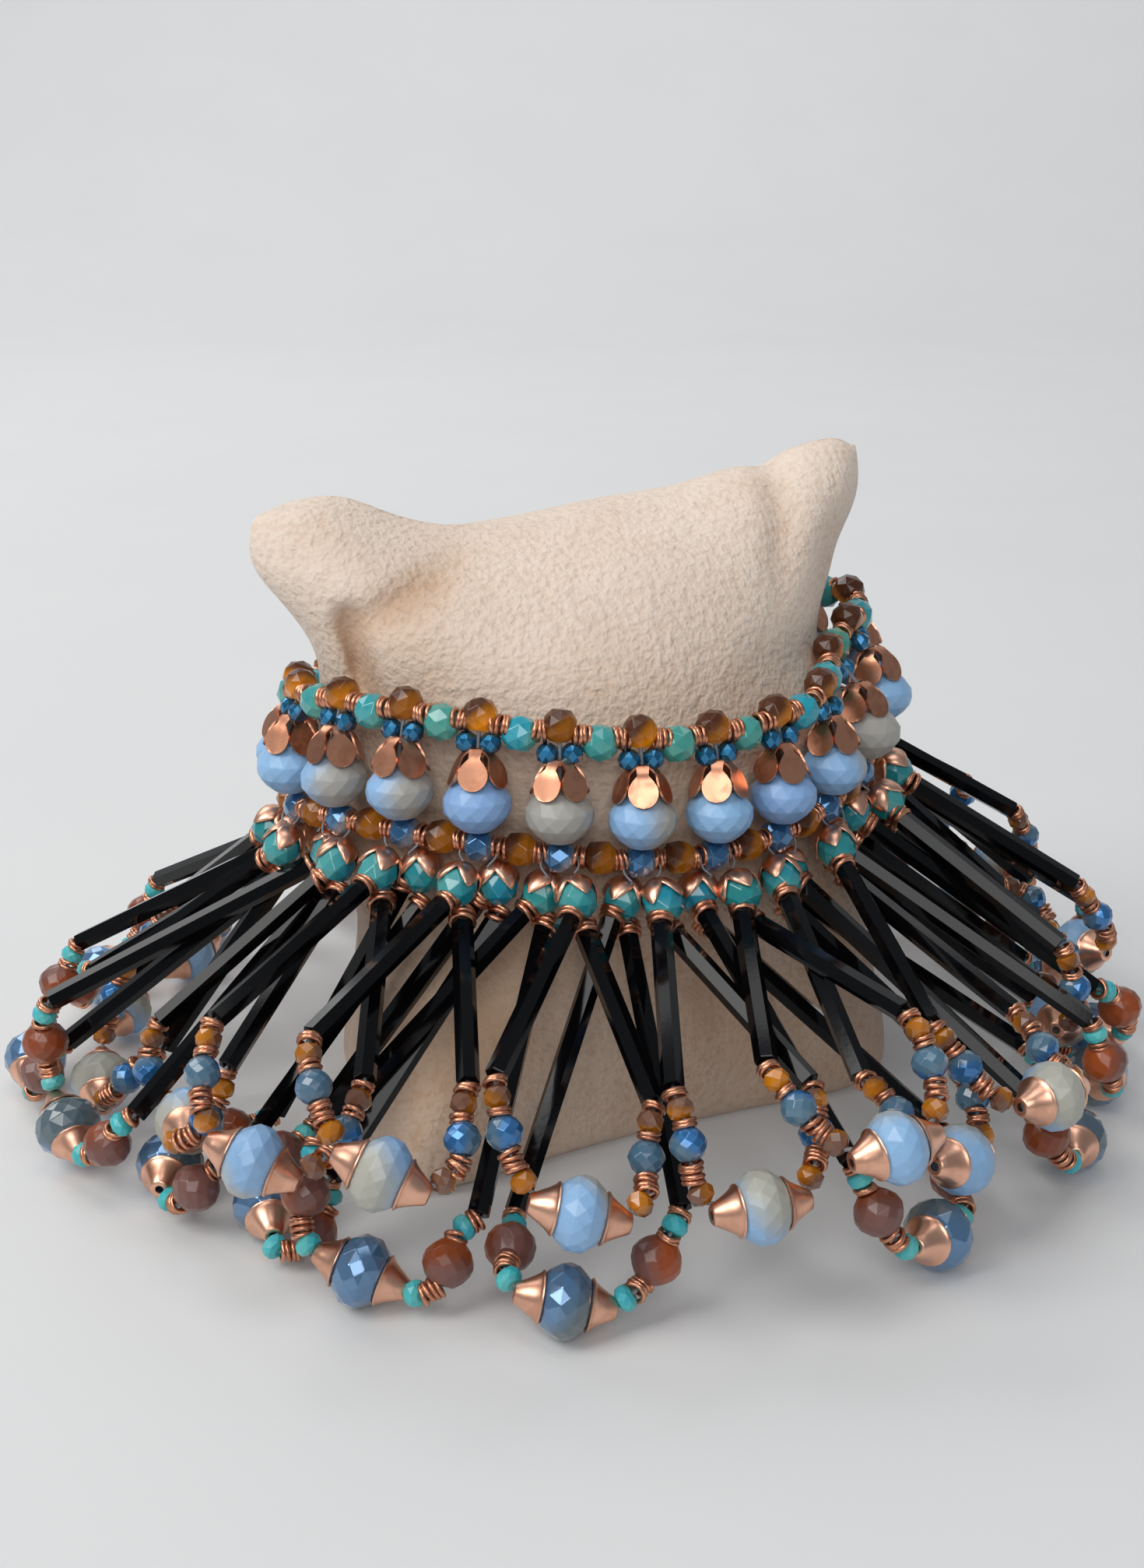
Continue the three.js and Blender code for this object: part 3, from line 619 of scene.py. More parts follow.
@dataclass(frozen=True)
class Petal:
    """One sheet-metal petal that leaves the axis and runs down and out.

    Attributes:
        length: Its length.
        width: Its greatest width.
        neck: Its width where it leaves the collar.
        start: Radius and height where it leaves the collar.
        slope: Degrees below level at which it leaves.
        curl: Degrees that it turns further down, all along a pointed one or at a paddle's neck.
        thickness: Thickness of the sheet.
        cup: How far its long edges bend in, as a share of its half width.
        pointed: Whether it ends in a point or in a round paddle.
        steps: Rows along it.
        across: Columns across it.
    """

    length: float
    width: float
    neck: float
    start: Pair
    slope: float
    curl: float
    thickness: float
    cup: float
    pointed: bool
    steps: int = 12
    across: int = 6

    def _pointed_width(self, share: float) -> float:
        """The width of a pointed petal at a share of its length."""
        widest = 0.35
        if share < widest:
            return self.neck + (self.width - self.neck) * math.sin(math.pi / 2 * share / widest)
        return self.width * max(0.0, math.cos(math.pi / 2 * (share - widest) / (1 - widest))) ** 0.75

    def _paddle_width(self, share: float) -> float:
        """The width of a petal that ends in a round paddle, at a share of its length."""
        disc_start, disc_middle, neck_end = 0.28, 0.64, 0.9
        across = max(0.0, 1 - ((share - disc_middle) / (1 - disc_middle)) ** 2) ** 0.5
        disc = across if share > disc_start else 0.0
        return max(self.neck * (1 - 0.5 * share) if share < neck_end else 0.0, self.width * disc)

    def _rows(self) -> list[tuple[float, float, float, float]]:
        """Radius, height, half width and angle of each row along it."""
        bend_end, narrowest = 0.45, 0.06
        rows = []
        radius, height = self.start
        before = 0.0
        for step in range(self.steps + 1):
            share = math.sin(math.pi / 2 * step / self.steps)
            turned_down = share if self.pointed else min(1.0, share / bend_end)
            angle = math.radians(self.slope + self.curl * turned_down)
            radius += self.length * (share - before) * math.cos(angle)
            height -= self.length * (share - before) * math.sin(angle)
            before = share
            spread = self._pointed_width(share) if self.pointed else self._paddle_width(share)
            rows.append((radius, height, max(spread, narrowest) / 2, angle))
        return rows

    def form(self) -> Form:
        """Builds the petal as a closed form."""
        points = []
        rows = self._rows()
        for layer in (0.5, -0.5):
            for radius, height, half, angle in rows:
                for column in range(self.across + 1):
                    side = 2 * column / self.across - 1
                    rim = 0.3 * max(0.0, abs(side) - 0.6)
                    away = self.thickness * (layer + rim) - self.cup * half * side * side
                    points.append((radius + away * math.sin(angle), half * side,
                                   height + away * math.cos(angle)))
        wide = self.across + 1
        layer_size = wide * (self.steps + 1)
        faces = []
        for row in range(self.steps):
            for column in range(self.across):
                a = row * wide + column
                faces.append((a, a + wide, a + wide + 1, a + 1))
                b = a + layer_size
                faces.append((b, b + 1, b + wide + 1, b + wide))
        rim_line = [*range(0, wide), *[row * wide + self.across for row in range(1, self.steps + 1)],
                    *[self.steps * wide + column for column in range(self.across - 1, -1, -1)],
                    *[row * wide for row in range(self.steps - 1, 0, -1)]]
        for here, following in zip(rim_line, rim_line[1:] + rim_line[:1]):
            faces.append((here, following, following + layer_size, here + layer_size))
        return Form(np.array(points), tuple(faces), True)


def repeated(form: Form, count: int) -> Form:
    """Sets a form round +Z the given number of times."""
    points, faces = [], []
    for index in range(count):
        turn = np.array(Matrix.Rotation(2 * math.pi * index / count, 3, "Z"))
        faces += [tuple(i + index * len(form.points) for i in face) for face in form.faces]
        points.append(form.points @ turn.T)
    return Form(np.vstack(points), tuple(faces), form.smooth)


def together(*forms: Form) -> Form:
    """Makes one form of several."""
    points, faces, base = [], [], 0
    for form in forms:
        points.append(form.points)
        faces += [tuple(i + base for i in face) for face in form.faces]
        base += len(form.points)
    return Form(np.vstack(points), tuple(faces), forms[0].smooth)


@dataclass(frozen=True)
class Cap:
    """A flower-shaped bead cap: petals round a small turned collar."""

    petal: Petal
    count: int
    collar: tuple[Pair, ...]
    sides: int

    def form(self) -> Form:
        """Builds the cap."""
        collar = turned(self.collar, self.sides, closed=True, smooth=True)
        return together(repeated(self.petal.form(), self.count), collar)


def mesh_piece(name: str, points: list, faces: list, finish: bpy.types.Material,
               smooth: list[bool] | None = None, **numbers: np.ndarray) -> bpy.types.Object:
    """Makes one mesh and adds it to the scene.

    Args:
        name: The piece's name.
        points: Its points in metres.
        faces: The numbers of each face's points.
        finish: Its material.
        smooth: Whether each face is shaded smooth, or None where all are.
        numbers: What each point carries for the finish, by name.

    Returns:
        The piece.
    """
    mesh = bpy.data.meshes.new(name)
    mesh.from_pydata(points, [], faces)
    mesh.polygons.foreach_set("use_smooth", smooth or [True] * len(faces))
    for label, values in numbers.items():
        mesh.attributes.new(label, "FLOAT", "POINT").data.foreach_set("value", values)
    mesh.materials.append(finish)
    piece = bpy.data.objects.new(name, mesh)
    bpy.context.scene.collection.objects.link(piece)
    return piece


def numbered(name: str, places: range) -> list[str]:
    """The names of a row of CAD nodes."""
    return [f"{name}_{place:02d}" for place in places]


class Tray:
    """Gathers many small forms of one finish and makes one mesh of them."""

    def __init__(self, name: str, finish: bpy.types.Material, slot: Slot | None, seed: int = 0) -> None:
        """Names the piece and its finish."""
        self.name = name
        self.finish = finish
        self.slot = slot
        self.chance = Random(SEED + seed)
        self.points: list[np.ndarray] = []
        self.faces: list[tuple[int, ...]] = []
        self.smooth: list[bool] = []
        self.tone: list[np.ndarray] = []
        self.side: list[np.ndarray] = []
        self.size = 0

    def add(self, form: Form, centre: Vector, axis: Vector, coated: Vector | None = None,
            tone: float | None = None, spin: float | None = None, scale: float = 1.0,
            lift: float = 0.0) -> None:
        """Places one form.

        Args:
            form: The form, about its own +Z.
            centre: Where its middle goes, in the model's millimetres.
            axis: Where its +Z points.
            coated: The direction that its coated side looks in, or None for a chance one.
            tone: Its tone from 0 to 1, or None for a chance one.
            spin: Its turn about its axis in degrees, or None for a chance one.
            scale: Its size against the form's.
            lift: How much further its coat reaches, or less far if it is below 0.
        """
        angle = self.chance.uniform(0, 360) if spin is None else spin
        turn = axis.to_track_quat("Z", "Y") @ Quaternion(UP, math.radians(angle))
        placed = form.points * scale @ np.array(turn.to_matrix()).T
        facing = coated or Vector([self.chance.gauss(0, 1) for _ in range(3)])
        side = placed @ np.array(facing.normalized()) / max(form.reach * scale, 1e-6) + lift
        level = self.chance.random() if tone is None else tone
        self.faces += [tuple(index + self.size for index in face) for face in form.faces]
        self.smooth += [form.smooth] * len(form.faces)
        self.points.append((placed + np.array(centre)) * MM)
        self.tone.append(np.full(len(placed), level))
        self.side.append(side)
        self.size += len(placed)

    def tube(self, path: list[Vector], radius: float, sides: int = 6) -> None:
        """Adds a round thread along a path."""
        rings = []
        normal = Vector((0.3, 0.2, 0.9))
        for index, point in enumerate(path):
            ahead = (path[min(index + 1, len(path) - 1)] - path[max(index - 1, 0)]).normalized()
            normal = (normal - ahead * normal.dot(ahead)).normalized()
            across = ahead.cross(normal)
            for side in range(sides):
                angle = 2 * math.pi * side / sides
                rings.append(point + radius * (math.cos(angle) * normal + math.sin(angle) * across))
        faces = skinned(len(path), sides, self.size)
        self.faces += faces
        self.smooth += [True] * len(faces)
        self.points.append(np.array([point[:] for point in rings]) * MM)
        self.tone.append(np.full(len(rings), 0.5))
        self.side.append(np.zeros(len(rings)))
        self.size += len(rings)

    def make(self, *stands_for: str) -> bpy.types.Object:
        """Makes the piece and sets it on the frame.

        Args:
            stands_for: The CAD nodes that it takes the place of.

        Returns:
            The finished piece.
        """
        tone, side = (np.concatenate(values).astype(np.float32) for values in (self.tone, self.side))
        points = np.vstack(self.points).tolist()
        piece = mesh_piece(self.name, points, self.faces, self.finish, self.smooth, tone=tone, side=side)
        if all(self.smooth):
            piece.data.set_sharp_from_angle(angle=math.radians(70))
        settle_piece(piece, self.slot, stands_for)
        LOG.info("%s: %d parts, %d faces", self.name, len(self.points), len(self.faces))
        return piece


def settle_piece(piece: bpy.types.Object, slot: Slot | None, stands_for: tuple[str, ...]) -> None:
    """Puts a piece on the frame's one body and hides the nodes that it stands for."""
    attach(piece, "root")
    if stands_for:
        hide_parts(*stands_for)


# ---- The bracelet's plan ------------------------------------------------------------------
@dataclass
class Band:
    """The closed line that the band follows round the pillow, in millimetres.

    Attributes:
        units: Number of units on it.
        pitch: Distance from one unit to the next.
        clasp: Length of the clasp.
        aspect: Depth of the loop in plan as a share of its width.
        power: How square the loop is, where 2 is an ellipse.
        first_at: Place of the first unit, from the middle of the front.
        height: Mean height of the upper string.
        right: How much higher its right end is.
        ends: How much higher its front and back are.
        twist: How much higher it is at the front right and at the back left.
        lean_at: Where the upper string leans in most.
        lean_reach: How far to each side of that it leans.
        lean_inset: How far it leans in.
        string_drop: How far the upper string's thread lies below its beads' middles.
        string_rise: How far the lower string's thread lies above them.
        lower_out: How far the lower string stands out.
        lower_drop: How far it lies below the upper one.
        bead_out: How far the large beads stand out.
        bead_drop: How far they lie below the upper string.
        origin: The middle of the loop in plan.
        corners: The loop's corners in plan.
        walked: The distance along the loop to each corner.
    """

    units: int = 20
    pitch: float = 9.1
    clasp: float = 18.0
    aspect: float = 0.75
    power: float = 1.8
    first_at: float = -65.1
    height: float = 55.7
    right: float = 2.8
    ends: float = -1.8
    twist: float = -2.6
    lean_at: float = 38.0
    lean_reach: float = 16.0
    lean_inset: float = 4.2
    string_drop: float = 0.8
    string_rise: float = 0.15
    lower_out: float = 0.9
    lower_drop: float = 15.5
    bead_out: float = 1.95
    bead_drop: float = 10.0
    origin: Pair = (0.0, 0.0)
    corners: list[Pair] = field(default_factory=list)
    walked: list[float] = field(default_factory=list)

    def __post_init__(self) -> None:
        """Walks the superellipse once round."""
        steps = 720
        walked = 0.0
        for step in range(steps + 1):
            angle = 2 * math.pi * step / steps
            corner = (self._rounded(math.sin(angle)), -self.aspect * self._rounded(math.cos(angle)))
            if step:
                walked += math.dist(corner, self.corners[-1])
            self.corners.append(corner)
            self.walked.append(walked)
        scale = self.length / walked
        self.corners = [(x * scale, y * scale) for x, y in self.corners]
        self.walked = [value * scale for value in self.walked]

    def _rounded(self, value: float) -> float:
        """Bends a sine or cosine to the superellipse."""
        return math.copysign(abs(value) ** (2 / self.power), value)

    @property
    def length(self) -> float:
        """The band's whole length."""
        return self.units * self.pitch + self.clasp

    def distance(self, unit: int) -> float:
        """How far round the band a unit sits from the middle of the front."""
        return self.first_at + self.pitch * unit

    def plan(self, distance: float) -> Pair:
        """The place in plan at a distance along the band."""
        along = distance % self.length
        index = 1
        while self.walked[index] < along:
            index += 1
        share = (along - self.walked[index - 1]) / (self.walked[index] - self.walked[index - 1])
        (x0, y0), (x1, y1) = self.corners[index - 1], self.corners[index]
        return self.origin[0] + x0 + (x1 - x0) * share, self.origin[1] + y0 + (y1 - y0) * share

    def frame(self, distance: float, step: float = 0.8) -> tuple[Vector, Vector, Vector]:
        """A point of the band, the level direction along it and the one out of it."""
        x, y = self.plan(distance)
        (ax, ay), (bx, by) = self.plan(distance + step), self.plan(distance - step)
        along = Vector((ax - bx, ay - by, 0)).normalized()
        angle = 2 * math.pi * distance / self.length
        z = (self.height + self.right * math.sin(angle) + self.ends * math.cos(2 * angle)
             + self.twist * math.sin(2 * angle))
        return Vector((x, y, z)), along, Vector((along.y, -along.x, 0))

    def upper(self, distance: float, drop: float = 0.0) -> Vector:
        """A point of the upper string, which leans in where the pillow narrows."""
        point, _, out = self.frame(distance)
        share = min(1.0, abs(distance - self.lean_at) / self.lean_reach)
        lean = self.lean_inset * math.cos(math.pi / 2 * share) ** 2
        return point - out * lean - UP * drop

    def lower(self, distance: float, rise: float = 0.0) -> Vector:
        """A point of the lower string."""
        point, _, out = self.frame(distance)
        return point + out * self.lower_out + UP * (rise - self.lower_drop)

    def bead(self, distance: float) -> Vector:
        """The middle of the large bead at a distance along the band."""
        point, _, out = self.frame(distance)
        return point + out * self.bead_out - UP * self.bead_drop


@dataclass(frozen=True)
class Lie:
    """How one unit's loops lie: headings, slope and roll in degrees, and the near head's side."""

    near: float
    far: float
    slope: float
    roll: float
    side: int


LIES = (
    Lie(-146, -156, 38, 9, 1), Lie(-126, -134, 40, 9, 1), Lie(-100, -106, 42, 9, 1), Lie(-64, -86, 38, -9, 1),
    Lie(-34, -82, 21, 15, -1), Lie(-25, -70, 18, 15, -1), Lie(-14, -47, 23, 7, 1), Lie(1, -27, 21, -9, 1),
    Lie(8, 29, 13, -14, 1), Lie(20, 54, 26, 16, -1), Lie(24, 70, 24, 7, -1), Lie(62, 82, 34, 0, 1),
    Lie(84, 100, 32, 9, -1), Lie(108, 118, 33, 9, 1), Lie(126, 138, 30, 9, -1), Lie(146, 150, 34, 9, 1),
    Lie(156, 166, 28, 9, -1), Lie(172, 174, 33, 9, 1), Lie(178, 190, 29, 9, -1), Lie(196, 202, 32, 9, 1),
)


@dataclass(frozen=True)
class LoopKind:
    """One kind of fringe loop: its tube bead, its spread and drape, and half of its string."""

    bugle: float
    spread: float
    drape: float
    lengths: tuple[float, ...]
    radii: tuple[float, ...]


NEAR = LoopKind(25.0, 17.5, 22.0, (3.2, 4.4, 2.4, 2.3), (1.5, 2.0, 1.2, 1.5))
FAR = LoopKind(35.0, 14.5, 34.0, (2.7, 5.7, 2.3, 1.9), (1.5, 2.8, 1.2, 1.5))


class Joint:
    """A joint of a loop's string."""

    __slots__ = ("at", "fixed")

    def __init__(self, at: Vector, fixed: bool = False) -> None:
        """Places the joint."""
        self.at = at
        self.fixed = fixed


@dataclass
class Loop:
    """One laid loop: its head and the joints from the left tube bead round to the right one."""

    kind: LoopKind
    head: Vector
    axis: Vector
    joints: list[Joint]
    radii: list[float]
    lengths: list[float]

    @property
    def middle(self) -> int:
        """The joint in the middle of the large bead."""
        return len(self.joints) // 2

    @property
    def middle_axis(self) -> Vector:
        """The direction of the large bead's hole."""
        return (self.joints[self.middle + 1].at - self.joints[self.middle - 1].at).normalized()


@dataclass
class Unit:
    """One unit of the bracelet with the places of its pieces."""

    index: int
    distance: float
    along: Vector
    out: Vector
    amber: Vector
    band_bead: Vector
    lower_blue: Vector
    far: Loop
    near: Loop


@dataclass
class FringeLie:
    """Lays the fringe's loops over one another and pushes them apart for a set number of rounds.

    Attributes:
        band: The band that they hang from.
        middle_reach: From the middle of a large bead to the end of its cone.
        cone_radius: Radius kept round a cone.
        bugle_radius: Radius kept round a tube bead.
        head_radius: Radius kept round a head bead.
        rondelle: Radius kept round a large bead.
        shelf: Height at which a large bead rests.
        far_roll: How far a far loop's left side is raised, in degrees.
        leg_along: How far below its head's middle a tube bead starts.
        leg_side: How far beside it.
        leg_over: How far one tube bead lies over the other.
        leg_slack: Thread left at a tube bead's ends.
        plumb: How far a head hangs straight down instead of along its loop, from 0 to 1.
        sweeps: Rounds of the relaxation.
        gap: The least gap between two pieces.
        pair_reach: The gap from which two pieces aren't compared.
        sink: How far everything falls in each round.
        bend_hold: How stiffly a string keeps its bend.
        width_hold: How stiffly a loop keeps its width.
        head_places: Along, out and down to the near head and the far one.
    """

    band: Band
    middle_reach: float = 5.6
    cone_radius: float = 2.7
    bugle_radius: float = 1.2
    head_radius: float = 2.5
    rondelle: float = 4.0
    shelf: float = 4.05
    far_roll: float = 11.0
    leg_along: float = 2.9
    leg_side: float = 0.9
    leg_over: float = 1.1
    leg_slack: float = 0.3
    plumb: float = 0.5
    sweeps: int = 160
    gap: float = 0.35
    pair_reach: float = 7.0
    sink: float = 0.005
    bend_hold: float = 0.2
    width_hold: float = 0.15
    head_places: tuple[tuple[float, float, float], ...] = ((2.0, 4.1, 19.6), (2.1, 1.1, 20.2))

    def hanging_half(self, half_width: float, pieces: list[float]) -> list[Pair]:
        """Half of a hanging loop as a quarter of a rounded arch.

        Args:
            half_width: Half the width that it hangs from.
            pieces: Lengths of its pieces from the end to the middle.

        Returns:
            Sideways and downward distance of each joint.
        """
        steps, power, total = 60, 3.2, sum(pieces)

        def arch(depth: float) -> tuple[list[Pair], list[float]]:
            """The arch's corners and the length walked to each."""
            corners, walked = [], [0.0]
            for step in range(steps + 1):
                angle = math.pi / 2 * step / steps
                across = max(math.cos(angle), 0.0) ** (2 / power)
                corners.append((-half_width * across, depth * math.sin(angle) ** (2 / power)))
                if step:
                    walked.append(walked[-1] + math.dist(corners[-1], corners[-2]))
            return corners, walked

        corners, walked = arch(halved(1.0, total, lambda depth: arch(depth)[1][-1] < total))
        joints, reached = [], 0.0
        for piece in pieces:
            reached += piece
            index = 1
            while index < steps and walked[index] < reached:
                index += 1
            share = min(1.0, (reached - walked[index - 1]) / (walked[index] - walked[index - 1]))
            (x0, y0), (x1, y1) = corners[index - 1], corners[index]
            joints.append((x0 + (x1 - x0) * share, y0 + (y1 - y0) * share))
        return joints

    def slope_to_shelf(self, height: float, leg: float, drop: float, drape: float) -> float:
        """The slope in degrees at which a far loop's large bead reaches the surface."""

        def above(slope: float) -> bool:
            """Whether the bead stays above the surface at a slope."""
            steep = min(slope + drape, 90.0)
            fall = leg * math.sin(math.radians(slope)) + drop * math.sin(math.radians(steep))
            return height - fall > self.shelf

        return halved(5.0, 85.0, above)

    def lay(self, kind: LoopKind, head: Vector, heading: float, roll: float, slope: float | None) -> Loop:
        """Lays one loop before it settles.

        Args:
            kind: The kind of loop.
            head: The middle of its head bead.
            heading: Its heading in degrees from straight ahead.
            roll: How far its left side is raised, in degrees.
            slope: Its slope below level, or None to reach the surface.

        Returns:
            The loop.
        """
        turn, tilt = math.radians(heading), math.radians(roll)
        level = Vector((math.sin(turn), -math.cos(turn), 0))
        right = Vector((math.cos(turn), math.sin(turn), 0))
        leg = kind.bugle + self.leg_slack
        half_width = leg * math.sin(math.radians(kind.spread)) + self.leg_side
        pieces = [*kind.lengths, self.middle_reach]
        half = self.hanging_half(half_width, pieces)
        straight = leg * math.cos(math.radians(kind.spread))
        reach = straight + self.leg_along * (1 - self.plumb)
        height = head.z - self.plumb * self.leg_along
        degrees = self.slope_to_shelf(height, reach, half[-1][1], kind.drape) if slope is None else slope
        angle, steep = math.radians(degrees), math.radians(min(degrees + kind.drape, 90))
        down = level * math.cos(angle) - UP * math.sin(angle)
        over = level * math.sin(angle) + UP * math.cos(angle)
        fall = level * math.cos(steep) - UP * math.sin(steep)
        side = right * math.cos(tilt) - over * math.sin(tilt)
        axis = (down * (1 - self.plumb) - UP * self.plumb).normalized()
        foot = head + axis * self.leg_along
        ends = foot + down * straight

        def string(sign: int) -> list[Vector]:
            """One side's joints, from the tube bead's end to the middle."""
            return [ends + side * (sign * across) + fall * below
                    + over * (sign * self.leg_over * (1 - (index + 1) / len(half)))
                    for index, (across, below) in enumerate(half)]

        left, right_side = string(1), string(-1)[:-1]
        points = [foot - side * self.leg_side + over * self.leg_over,
                  ends - side * half_width + over * self.leg_over,
                  *left, *reversed(right_side),
                  ends + side * half_width - over * self.leg_over,
                  foot + side * self.leg_side - over * self.leg_over]
        last = len(points) - 1
        joints = [Joint(point, index in (0, last)) for index, point in enumerate(points)]
        radii = [self.bugle_radius, *kind.radii, self.cone_radius]
        lengths = [leg, *pieces]
        return Loop(kind, head, axis, joints, radii + radii[::-1], lengths + lengths[::-1])

    def colliders(self, loops: list[Loop]) -> list[tuple[Joint, Joint, float, int]]:
        """Every piece of every loop as a round-ended stretch, and then the heads."""
        found = []
        for index, loop in enumerate(loops):
            for place, radius in enumerate(loop.radii):
                found.append((loop.joints[place], loop.joints[place + 1], radius, index))
            middle = loop.joints[loop.middle]
            found.append((middle, middle, self.rondelle, index))
        for index, loop in enumerate(loops):
            head = Joint(loop.head, True)
            found.append((head, head, self.head_radius, index))
        return found

    def push_apart(self, first: tuple, second: tuple) -> None:
        """Moves two stretches apart if they come closer than they may."""
        a0, a1, b0, b1 = first[0], first[1], second[0], second[1]
        s, t = closest_shares(a0.at, a1.at, b0.at, b1.at)
        apart = a0.at.lerp(a1.at, s) - b0.at.lerp(b1.at, t)
        distance = apart.length
        wanted = first[2] + second[2] + self.gap
        if distance >= wanted or distance < 1e-6:
            return
        shares = ((a0, 1 - s), (a1, s), (b0, t - 1), (b1, -t))
        total = sum(share * share for joint, share in shares if not joint.fixed)
        if total < 1e-6:
            return
        for joint, share in shares:
            if not joint.fixed:
                joint.at = joint.at + apart * ((wanted - distance) / distance * share / total)

    def hold(self, first: Joint, second: Joint, length: float, strength: float) -> None:
        """Draws two joints towards a distance from each other."""
        apart = second.at - first.at
        distance = apart.length
        free = (not first.fixed) + (not second.fixed)
        if not free:
            return
        change = strength * (distance - length) / distance / free
        if not first.fixed:
            first.at = first.at + apart * change
        if not second.fixed:
            second.at = second.at - apart * change

    def settle(self, loops: list[Loop]) -> None:
        """Relaxes all the loops together."""
        colliders = self.colliders(loops)
        pairs = []
        for i, a in enumerate(colliders):
            for b in colliders[i + 1:]:
                if a[3] != b[3] and (a[0].at - b[0].at).length < 90:
                    s, t = closest_shares(a[0].at, a[1].at, b[0].at, b[1].at)
                    gap = (a[0].at.lerp(a[1].at, s) - b[0].at.lerp(b[1].at, t)).length
                    if gap < a[2] + b[2] + self.pair_reach:
                        pairs.append((a, b))
        bends = [[(loop.joints[i + 2].at - loop.joints[i].at).length for i in range(len(loop.joints) - 2)]
                 for loop in loops]
        widths = [(loop.joints[1].at - loop.joints[-2].at).length for loop in loops]
        for _ in range(self.sweeps):
            for loop in loops:
                for joint in loop.joints:
                    if not joint.fixed:
                        joint.at = joint.at - UP * self.sink
            for a, b in pairs:
                self.push_apart(a, b)
            for index, loop in enumerate(loops):
                joints = loop.joints
                for i, length in enumerate(bends[index]):
                    self.hold(joints[i], joints[i + 2], length, 1 if i + 1 == loop.middle else self.bend_hold)
                self.hold(joints[1], joints[-2], widths[index], self.width_hold)
                for _ in range(3):
                    for i, length in enumerate(loop.lengths):
                        self.hold(joints[i], joints[i + 1], length, 1)
            for start, end, radius, _ in colliders:
                sunk = radius + 0.05 - (start.at.z + end.at.z) / 2
                if sunk > 0 and not start.fixed:
                    start.at = start.at + UP * sunk
                if sunk > 0 and not end.fixed and end is not start:
                    end.at = end.at + UP * sunk

    def units(self) -> list[Unit]:
        """Lays every unit and settles the loops."""
        frames, loops = [], []
        for index, lie in enumerate(LIES):
            distance = self.band.distance(index)
            point, along, out = self.band.frame(distance)
            (near_along, near_out, near_drop), (far_along, far_out, far_drop) = self.head_places
            near_head = point + along * (near_along * lie.side) + out * near_out - UP * near_drop
            far_head = point - along * (far_along * lie.side) + out * far_out - UP * far_drop
            frames.append((distance, along, out))
            loops.append(self.lay(FAR, far_head, lie.far, self.far_roll, None))
            loops.append(self.lay(NEAR, near_head, lie.near, lie.roll, lie.slope))
        self.settle(loops)
        return [
            Unit(index, distance, along, out, self.band.upper(distance), self.band.bead(distance),
                 self.band.lower(distance), loops[2 * index], loops[2 * index + 1])
            for index, (distance, along, out) in enumerate(frames)
        ]


def halved(low: float, high: float, short: Callable[[float], bool], rounds: int = 40) -> float:
    """Closes in on the value at which a test turns false.

    Args:
        low: A value that passes the test.
        high: A value that fails it.
        short: The test.
        rounds: How often the stretch between the two is halved.

    Returns:
        The last value that passes.
    """
    for _ in range(rounds):
        middle = (low + high) / 2
        low, high = (middle, high) if short(middle) else (low, middle)
    return low


def closest_shares(p1: Vector, q1: Vector, p2: Vector, q2: Vector) -> Pair:
    """Shares along two segments at which they come closest."""
    d1, d2, r = q1 - p1, q2 - p2, p1 - p2
    a, e, f, b, c = d1.dot(d1), d2.dot(d2), d2.dot(r), d1.dot(d2), d1.dot(r)
    if a < 1e-9 and e < 1e-9:
        return 0.0, 0.0
    if a < 1e-9:
        return 0.0, min(1.0, max(0.0, f / e))
    if e < 1e-9:
        return min(1.0, max(0.0, -c / a)), 0.0
    spread = a * e - b * b
    s = min(1.0, max(0.0, (b * f - c * e) / spread)) if spread > 1e-9 else 0.5
    t = (b * s + f) / e
    if t < 0:
        return min(1.0, max(0.0, -c / a)), 0.0
    if t > 1:
        return min(1.0, max(0.0, (b - c) / a)), 1.0
    return s, t


# ---- Band ---------------------------------------------------------------------------------
@dataclass(frozen=True)
class Shade:
    """How one large bead is coloured: its tone, and where its grey lies and how far it reaches."""

    tone: float
    along: float
    out: float
    lift: float


class Pale(Enum):
    """The shades of the large beads of the band."""

    SKY = Shade(0.1, 0.4, -1.0, -0.45)
    HALF = Shade(0.3, 1.0, 0.1, 0.1)
    VIOLET = Shade(0.95, 0.2, -1.0, -0.45)
    GREY = Shade(0.4, 0.1, 1.0, 0.75)


PALE_ROW = (
    Pale.HALF, Pale.SKY, Pale.SKY, Pale.HALF, Pale.HALF, Pale.VIOLET, Pale.GREY,
    Pale.HALF, Pale.SKY, Pale.VIOLET, Pale.HALF, Pale.GREY, Pale.SKY, Pale.VIOLET,
    Pale.GREY, Pale.HALF, Pale.SKY, Pale.HALF, Pale.VIOLET, Pale.GREY,
)


